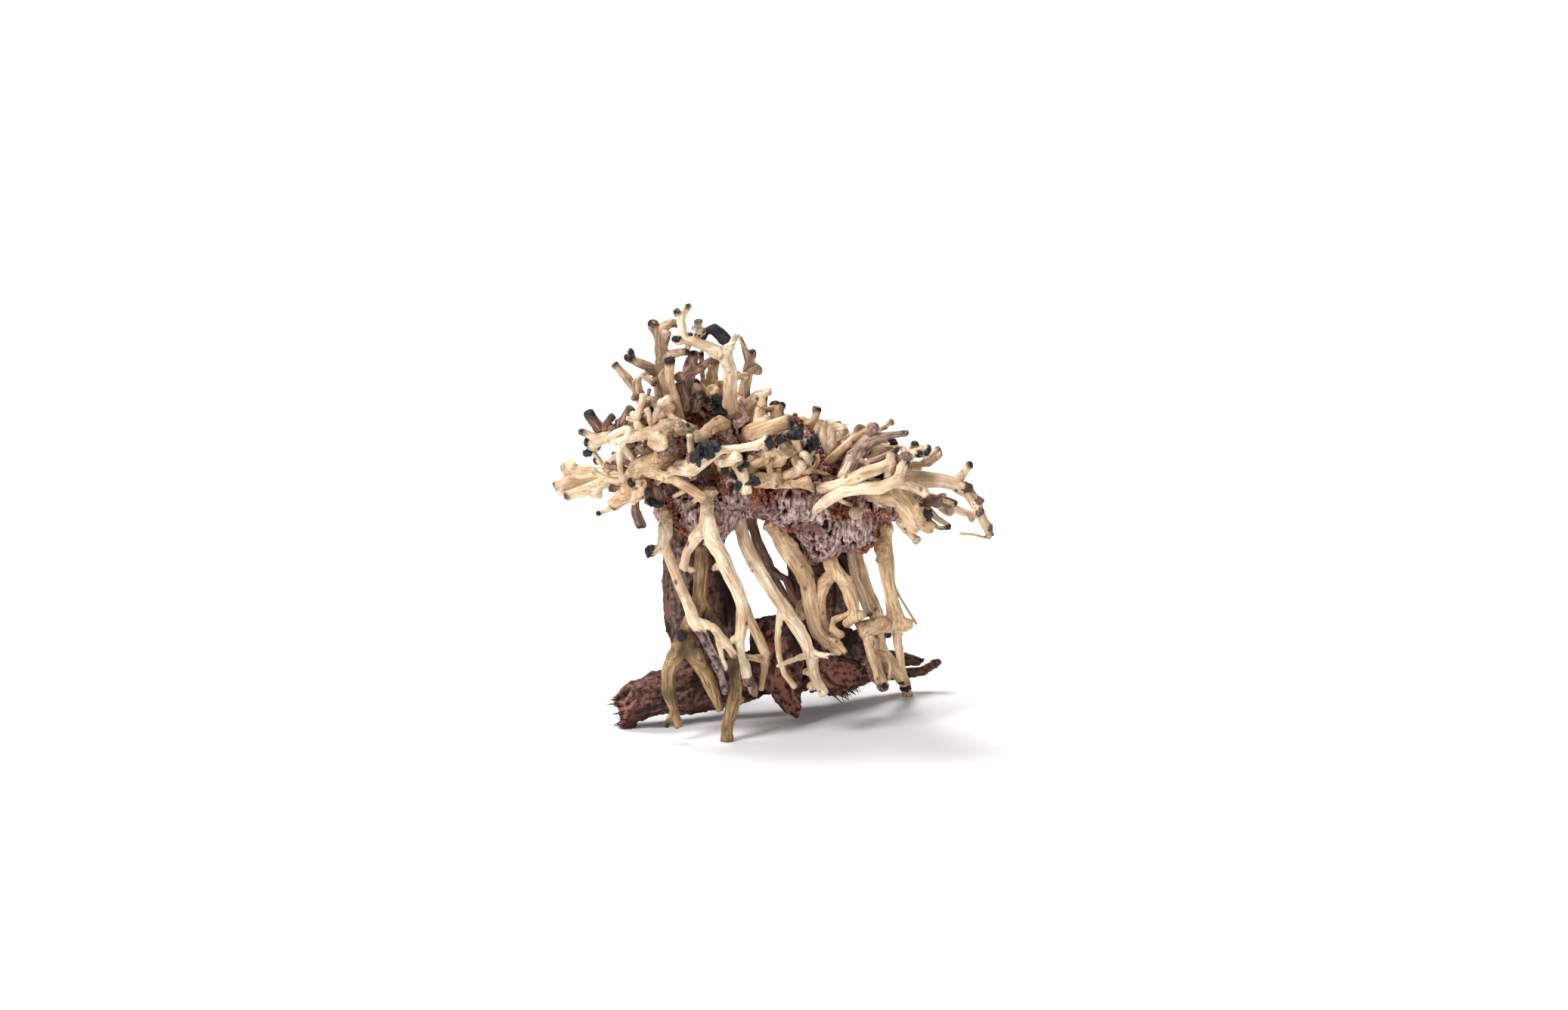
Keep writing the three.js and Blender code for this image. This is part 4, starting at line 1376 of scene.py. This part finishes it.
# Each sprig: host node, its foot as shares of the whole box (across, back, up), its reach in
# millimetres, its radius in millimetres and how burnt its end is.
SPRIGS = {
    "pale_root": [
        ("knuckle_root", (0.190, 0.096, 0.748), (3.3, -1.0, 11.1), 1.5, 0.3),
        ("knuckle_root", (0.221, 0.054, 0.752), (-1.2, -1.0, 5.3), 1.1, 0.0),
        ("knuckle_root", (0.235, 0.127, 0.778), (5.3, -3.0, 3.5), 1.8, 0.0),
        ("knuckle_root", (0.229, 0.065, 0.753), (2.8, -2.0, 5.7), 1.4, 0.5),
        ("knuckle_root", (0.173, 0.096, 0.731), (-8.8, -2.0, -5.3), 1.6, 0.2),
        ("knuckle_root", (0.179, 0.065, 0.730), (-4.3, -2.0, -5.7), 1.5, 0.0),
        ("left_elbow_root", (0.155, 0.065, 0.699), (0.7, 1.0, -15.5), 1.2, 0.0),
        ("left_elbow_root", (0.151, 0.106, 0.608), (-10.5, 4.0, 3.2), 1.3, 0.4),
        ("far_left_flare", (0.126, 0.210, 0.601), (-6.1, -3.0, 11.6), 0.9, 0.2),
        ("left_elbow_root", (0.274, 0.085, 0.636), (8.5, -4.0, -1.6), 1.7, 0.9),
        ("bone_spar", (0.320, 0.065, 0.662), (-1.0, -3.0, 10.7), 1.5, 0.6),
        ("bone_spar", (0.385, 0.065, 0.656), (6.6, -4.0, 4.2), 2.2, 0.0),
        ("middle_spar", (0.319, 0.335, 0.760), (1.6, -3.0, 7.0), 1.8, 0.2),
        ("black_tipped_cluster", (0.552, 0.148, 0.656), (1.8, -6.0, -2.9), 2.3, 0.0),
        ("black_tipped_cluster", (0.569, 0.127, 0.667), (2.4, -4.0, -1.9), 1.8, 0.5),
        ("arched_spar", (0.306, 0.293, 0.885), (1.2, 0.0, 6.4), 1.1, 1.0),
        ("white_thick_root", (0.686, 0.314, 0.666), (2.4, -6.0, 7.8), 1.9, 0.8),
        ("white_thick_root", (0.703, 0.314, 0.683), (3.4, -2.0, 5.5), 1.1, 0.3),
        ("lower_front_root", (0.759, 0.085, 0.631), (1.4, -2.0, 7.8), 1.6, 0.2),
        ("thick_right_hanger", (0.787, 0.252, 0.493), (7.6, -6.0, -6.9), 1.7, 0.4),
        ("lower_right_arms", (0.853, 0.252, 0.539), (9.2, -6.0, -2.9), 1.7, 0.5),
        ("lower_right_arms", (0.842, 0.273, 0.553), (8.4, -6.0, 0.6), 1.4, 0.3),
        ("right_upper_stubs", (0.798, 0.252, 0.618), (7.4, -8.0, 7.7), 1.5, 0.6),
        ("sawdust_binder", (0.692, 0.335, 0.502), (-1.6, -9.0, 2.1), 2.2, 0.3),
        ("small_fork_stub", (0.463, 0.252, 0.709), (4.4, -4.0, 4.6), 1.7, 0.2),
        ("pale_fan_root", (0.363, 0.158, 0.717), (-7.4, -2.0, -1.9), 2.4, 0.0),
        ("upper_front_root", (0.653, 0.117, 0.615), (3.8, -2.0, 9.2), 1.5, 0.5),
        ("charred_top_stub", (0.334, 0.241, 0.923), (-0.6, -1.0, 6.7), 1.5, 0.9),
        ("charred_top_stub", (0.344, 0.241, 0.930), (-4.0, -3.0, 2.7), 1.3, 0.6),
        ("long_right_arm", (0.976, 0.200, 0.464), (-9.5, -2.0, 2.1), 0.5, 0.0),
    ],
    "tan_root": [
        ("left_elbow_root", (0.173, 0.148, 0.667), (-8.4, 4.0, -7.5), 2.1, 0.0),
        ("splintered_stump", (0.259, 0.169, 0.755), (5.6, -7.0, -4.7), 2.5, 0.0),
        ("knuckle_root", (0.218, 0.148, 0.713), (-6.6, 1.0, 3.5), 1.9, 0.3),
        ("left_elbow_root", (0.240, 0.085, 0.665), (4.6, -4.0, 6.9), 2.0, 0.5),
        ("fan_root", (0.513, 0.169, 0.602), (12.6, -5.0, 5.5), 1.7, 0.0),
        ("fan_root", (0.516, 0.158, 0.598), (11.9, -5.0, 2.8), 1.6, 0.0),
        ("fan_root", (0.517, 0.169, 0.602), (10.0, -3.0, 8.3), 1.5, 0.2),
        ("broad_tan_root", (0.452, 0.210, 0.630), (7.6, -5.0, 5.9), 2.2, 0.0),
        ("curled_stub_root", (0.642, 0.345, 0.639), (7.6, -5.0, 9.0), 1.6, 0.3),
        ("right_outer_leg", (0.736, 0.335, 0.226), (4.0, -3.0, 5.6), 1.8, 0.2),
        ("right_outer_leg", (0.778, 0.366, 0.322), (9.0, -1.0, -15.3), 0.48, 0.5),
        ("right_back_leg", (0.722, 0.533, 0.164), (3.1, -9.0, -2.8), 1.7, 0.6),
        ("centre_thick_leg", (0.566, 0.356, 0.287), (1.0, -6.0, -4.2), 1.9, 0.3),
        ("centre_thick_leg", (0.603, 0.293, 0.225), (3.8, -5.0, -4.0), 1.7, 0.4),
    ],
    "brown_root": [
        ("left_prong_root", (0.107, 0.158, 0.717), (-4.2, -1.0, 7.9), 2.2, 1.0),
        ("left_prong_root", (0.118, 0.148, 0.727), (3.6, -2.0, 4.7), 1.6, 0.8),
        ("left_prong_root", (0.154, 0.158, 0.725), (4.8, -4.0, 8.9), 1.9, 0.7),
        ("knuckle_root", (0.190, 0.189, 0.752), (5.6, -4.0, 10.8), 0.8, 0.0),
        ("middle_spar", (0.297, 0.293, 0.749), (-1.4, -3.0, 11.6), 2.2, 0.5),
        ("middle_spar", (0.324, 0.293, 0.743), (2.8, -6.0, 7.8), 1.8, 1.0),
        ("long_right_arm", (0.928, 0.189, 0.587), (3.0, -3.0, -0.9), 1.8, 0.6),
        ("lower_right_arms", (0.842, 0.210, 0.545), (6.6, -6.0, 1.2), 2.0, 0.2),
        ("lower_right_arms", (0.876, 0.231, 0.547), (7.0, -6.0, -0.5), 1.1, 0.8),
        ("thick_right_hanger", (0.842, 0.148, 0.520), (10.4, -5.0, -3.0), 1.0, 1.2),
        ("right_outer_leg", (0.760, 0.345, 0.230), (0.4, -1.0, -3.5), 1.4, 1.2),
        ("splayed_leg", (0.307, 0.148, 0.241), (-3.4, -4.5, 1.6), 2.1, 1.0),
        ("front_prop_leg", (0.433, 0.189, 0.161), (2.8, -3.0, -6.4), 2.2, 0.6),
        ("front_prop_leg", (0.447, 0.169, 0.130), (1.8, -1.0, -5.5), 1.2, 0.2),
    ],
    "mauve_root": [
        ("mauve_spar", (0.775, 0.148, 0.639), (5.4, -6.0, 5.3), 2.3, 0.2),
        ("mauve_spar", (0.720, 0.210, 0.692), (1.8, -4.0, 5.6), 2.1, 0.2),
        ("mauve_spar", (0.686, 0.169, 0.653), (-2.8, -6.0, -6.3), 2.6, 0.0),
        ("hanging_brown_stubs", (0.235, 0.189, 0.576), (0.6, -3.0, -6.4), 2.0, 1.2),
    ],
}

# Burnt lumps: shares of the whole box (across, back, up) and radius in millimetres.
CHAR_KNOBS = [
    (0.351, 0.002, 0.707, 3.3), (0.325, 0.002, 0.683, 3.5), (0.372, 0.283, 0.767, 2.4),
    (0.374, 0.273, 0.743, 2.6), (0.357, 0.096, 0.634, 2.1), (0.382, 0.096, 0.626, 2.3),
    (0.408, 0.096, 0.618, 1.8), (0.457, 0.065, 0.612, 2.7), (0.422, 0.054, 0.603, 1.7),
    (0.517, 0.117, 0.702, 2.2), (0.549, 0.127, 0.718, 2.7), (0.588, 0.179, 0.682, 3.1),
    (0.490, 0.012, 0.707, 2.0), (0.771, 0.262, 0.677, 1.7), (0.828, 0.127, 0.655, 1.7),
    (0.845, 0.127, 0.653, 1.3), (0.853, 0.117, 0.528, 1.9), (0.789, 0.210, 0.478, 1.3),
    (0.220, 0.189, 0.434, 2.0), (0.281, 0.189, 0.922, 1.8), (0.632, 0.148, 0.192, 1.3),
    (0.800, 0.751, 0.045, 2.0), (0.807, 0.772, 0.026, 1.9), (0.756, 0.283, 0.104, 1.4),
    (0.079, 0.127, 0.696, 1.6), (0.082, 0.137, 0.669, 1.6), (0.231, 0.096, 0.580, 1.9),
    (0.235, 0.096, 0.559, 1.8), (0.541, 0.179, 0.733, 1.6), (0.425, 0.044, 0.648, 1.5),
    (0.444, 0.065, 0.657, 1.4),
]

# Barky lumps, which also darken the crown's left as painted shade: shares of the whole box (across, back, up)
# and radius in millimetres.
BARK_AND_SHADE_KNOBS = [
    (0.257, 0.033, 0.680, 2.0), (0.264, 0.033, 0.658, 2.2), (0.179, 0.075, 0.681, 1.3),
    (0.298, 0.044, 0.702, 2.2), (0.285, 0.044, 0.685, 1.9), (0.304, 0.023, 0.681, 1.7),
    (0.151, 0.117, 0.753, 2.0), (0.170, 0.127, 0.786, 1.5), (0.185, 0.096, 0.786, 1.8),
    (0.137, 0.127, 0.729, 1.7), (0.199, 0.096, 0.769, 1.6), (0.964, 0.189, 0.550, 1.9),
    (0.967, 0.189, 0.527, 1.7), (0.989, 0.200, 0.486, 1.7), (0.944, 0.179, 0.581, 1.6),
    (0.801, 0.096, 0.648, 1.8), (0.734, 0.408, 0.113, 3.2), (0.706, 0.408, 0.138, 3.0),
    (0.744, 0.439, 0.081, 2.6), (0.099, 0.169, 0.678, 1.9),
]

# Regions where twigs grow: piece, slot, how many, seed, and the low and high corners as shares.
TWIG_REGIONS = [
    ("low_left_twigs", "pale_root", 34, 5, (0.087, 0.042, 0.538), (0.377, 0.417, 0.664)),
    ("low_left_dark_twigs", "brown_root", 20, 6, (0.110, 0.084, 0.538), (0.366, 0.458, 0.670)),
    ("mid_left_twigs", "pale_root", 34, 15, (0.154, 0.063, 0.648), (0.366, 0.438, 0.774)),
    ("mid_left_dark_twigs", "grey_bark", 36, 16, (0.143, 0.084, 0.653), (0.366, 0.479, 0.785)),
    ("top_left_twigs", "tan_root", 16, 17, (0.221, 0.209, 0.735), (0.455, 0.542, 0.840)),
    ("middle_twigs", "tan_root", 26, 18, (0.366, 0.063, 0.565), (0.634, 0.417, 0.675)),
    ("right_crown_twigs", "pale_root", 44, 7, (0.611, 0.063, 0.527), (0.890, 0.458, 0.670)),
    ("right_crown_dark_twigs", "mauve_root", 26, 8, (0.611, 0.105, 0.538), (0.868, 0.500, 0.664)),
    ("back_crown_twigs", "tan_root", 70, 9, (0.166, 0.521, 0.505), (0.823, 0.979, 0.703)),
    ("back_crown_grey_twigs", "grey_bark", 34, 19, (0.188, 0.500, 0.527), (0.779, 0.958, 0.735)),
]

# Regions at the back where longer roots cover the binder, in the same form, and how those are built.
COVER_REGIONS = [
    ("left_cover_roots", "pale_root", 9, 21, (0.177, 0.458, 0.571), (0.433, 0.854, 0.735)),
    ("middle_cover_roots", "tan_root", 10, 22, (0.388, 0.458, 0.549), (0.623, 0.875, 0.670)),
    ("right_cover_roots", "pale_root", 10, 23, (0.589, 0.458, 0.516), (0.857, 0.854, 0.620)),
    ("top_cover_roots", "tan_root", 20, 26, (0.277, 0.500, 0.626), (0.611, 0.916, 0.735)),
    ("back_cover_roots", "pale_root", 20, 27, (0.333, 0.583, 0.571), (0.812, 0.916, 0.681)),
    ("cover_dark_roots", "grey_bark", 18, 24, (0.221, 0.500, 0.538), (0.812, 0.875, 0.670)),
]
COVER_BUILD = {"lift": 0.15, "thick": (1.4, 2.5), "long": (11, 22)}

# Each torn edge: the timber, the way its splinters point, and how many there are.
TORN_EDGES = (("splintered_wedge", (0.72, 0.0, -0.69), 130), ("base_log", (-1.0, -0.1, -0.1), 34))

# Middles of the rust-red raw patches on the binder: shares of the whole box (across, back, up).
RAW_PATCHES = (
    (0.285, 0.293, 0.431), (0.341, 0.293, 0.402), (0.263, 0.273, 0.479), (0.374, 0.210, 0.579),
    (0.664, 0.252, 0.533), (0.619, 0.231, 0.644), (0.748, 0.293, 0.499), (0.764, 0.356, 0.445),
    (0.630, 0.314, 0.360), (0.697, 0.293, 0.397), (0.463, 0.189, 0.559), (0.541, 0.273, 0.456),
)


# Display colours of each wood: light, middle, dark, and its stain or broken face; char has its tip too.
WOOD_TONES = {
    "pale_root": ((243, 229, 207), (220, 192, 156), (158, 122, 88), (158, 116, 80)),
    "tan_root": ((231, 207, 173), (202, 166, 127), (142, 106, 75), (136, 94, 62)),
    "mossy_root": ((186, 154, 114), (136, 106, 74), (82, 60, 42), (84, 70, 46)),
    "brown_root": ((168, 138, 120), (118, 90, 76), (60, 43, 37), (66, 46, 38)),
    "grey_bark": ((216, 188, 158), (160, 130, 104), (90, 69, 57), (84, 62, 49)),
    "mauve_root": ((188, 160, 142), (138, 110, 98), (80, 60, 54), (94, 66, 56)),
    "char": ((58, 54, 54), (28, 26, 27), (10, 9, 10), (20, 19, 21), (20, 19, 21)),
    "dark_wood": ((148, 122, 112), (102, 78, 70), (40, 26, 22), (108, 76, 64)),
    "red_wood": ((136, 101, 90), (92, 62, 54), (32, 19, 16), (150, 100, 86)),
}


@dataclass
class Arrangement:
    """The whole dry root arrangement."""

    finishes: dict[str, bpy.types.Material] = field(default_factory=dict)

    def mix_finishes(self) -> None:
        """Makes one material for each slot of the record."""
        kinds: dict[str, RootFinish | TimberFinish | BinderFinish] = {}
        for slot, tones in WOOD_TONES.items():
            family = TimberFinish if slot.endswith("wood") else RootFinish
            kinds[slot] = family(slot.replace("_", " "), *(srgb(*tone) for tone in tones))
        kinds["mossy_root"] = replace(kinds["mossy_root"], stained=0.85)
        kinds["binder"] = BinderFinish()
        self.finishes = {slot: kind.build() for slot, kind in kinds.items()}

    def build(self) -> None:
        """Builds every piece from the frame outwards."""
        self.mix_finishes()
        cad = frame["nodes"][BINDER_NODE].data
        cad.calc_loop_triangles()
        corners = [vert.co for vert in cad.vertices]
        tree = BVHTree.FromPolygons(corners, [tuple(tri.vertices) for tri in cad.loop_triangles])
        slots = {part["node"]: part["material_slot"] for part in frame["record"]["subparts"]}
        skins: dict[str, Skin] = {}
        for number, (node, slot) in enumerate(slots.items()):
            if node == BINDER_NODE:
                skins[node] = Binder(self.finishes["binder"]).build()
                continue
            kind = Kind.TIMBER if slot.endswith("wood") else Kind.ROOT
            seed = FIRST_WOOD_SEED + number
            skins[node] = Woodwork(node, slot, seed, kind, self.finishes[slot], tree).build()
        self.fill(skins)

    def fill(self, skins: dict[str, Skin]) -> None:
        """Adds the twigs, grains, char and rootlets.

        Args:
            skins: The finished surface of each CAD node.
        """
        binder = skins[BINDER_NODE]
        crown = [skin for node, skin in skins.items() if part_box(node)[0][2] > CROWN_FLOOR_M]
        hosts = [binder, *crown]
        for table, build in ((COVER_REGIONS, COVER_BUILD), (TWIG_REGIONS, {})):
            for name, slot, count, seed, low, high in table:
                TwigSpray(name, slot, self.finishes[slot], hosts, count, seed, low, high, **build).build()
        rusty = binder.marks["rust"] > RAW_ENOUGH_FOR_GRAINS
        grains = GrainFinish("rust grains", srgb(84, 40, 26), srgb(202, 132, 92), 0.85, 0.15)
        Crumbs("rust_grains", "binder", grains.build(), binder, rusty, 2600, 12, (0.3, 0.85)).build()
        char = GrainFinish("charred lumps", srgb(8, 8, 9), srgb(36, 36, 42), 0.5, 0.4).build()
        above = binder.points[:, 2] > CHAR_FLOOR_MM
        Crumbs("char_lumps", "char", char, binder, above, 16, 13, (1.2, 2.4), 3, 0.6).build()
        surface = np.concatenate([skin.points for skin in skins.values()])
        Knobs("char_knobs", "char", char, CHAR_KNOBS, surface, 31).build()
        # Dark barky lumps; those in the crown's left also stand in for the shade there, as painted shade.
        bark = self.finishes["brown_root"]
        Knobs("bark_and_shade_knobs", "brown_root", bark, BARK_AND_SHADE_KNOBS, surface, 32, 0.4).build()
        for number, (slot, table) in enumerate(SPRIGS.items()):
            seed = FIRST_SPRIG_SEED + number
            Sprigs(f"{slot}_sprigs", slot, self.finishes[slot], skins, table, seed).build()
        for node, aim, count in TORN_EDGES:
            Fringe(node, "red_wood", self.finishes["red_wood"], skins[node], aim, count, FRINGE_SEED).build()


def main() -> None:
    """Builds the arrangement, then the studio."""
    logging.basicConfig(level=logging.INFO, format="%(name)s %(message)s")
    Arrangement().build()
    Studio().build()


if __name__ == "__main__":
    main()
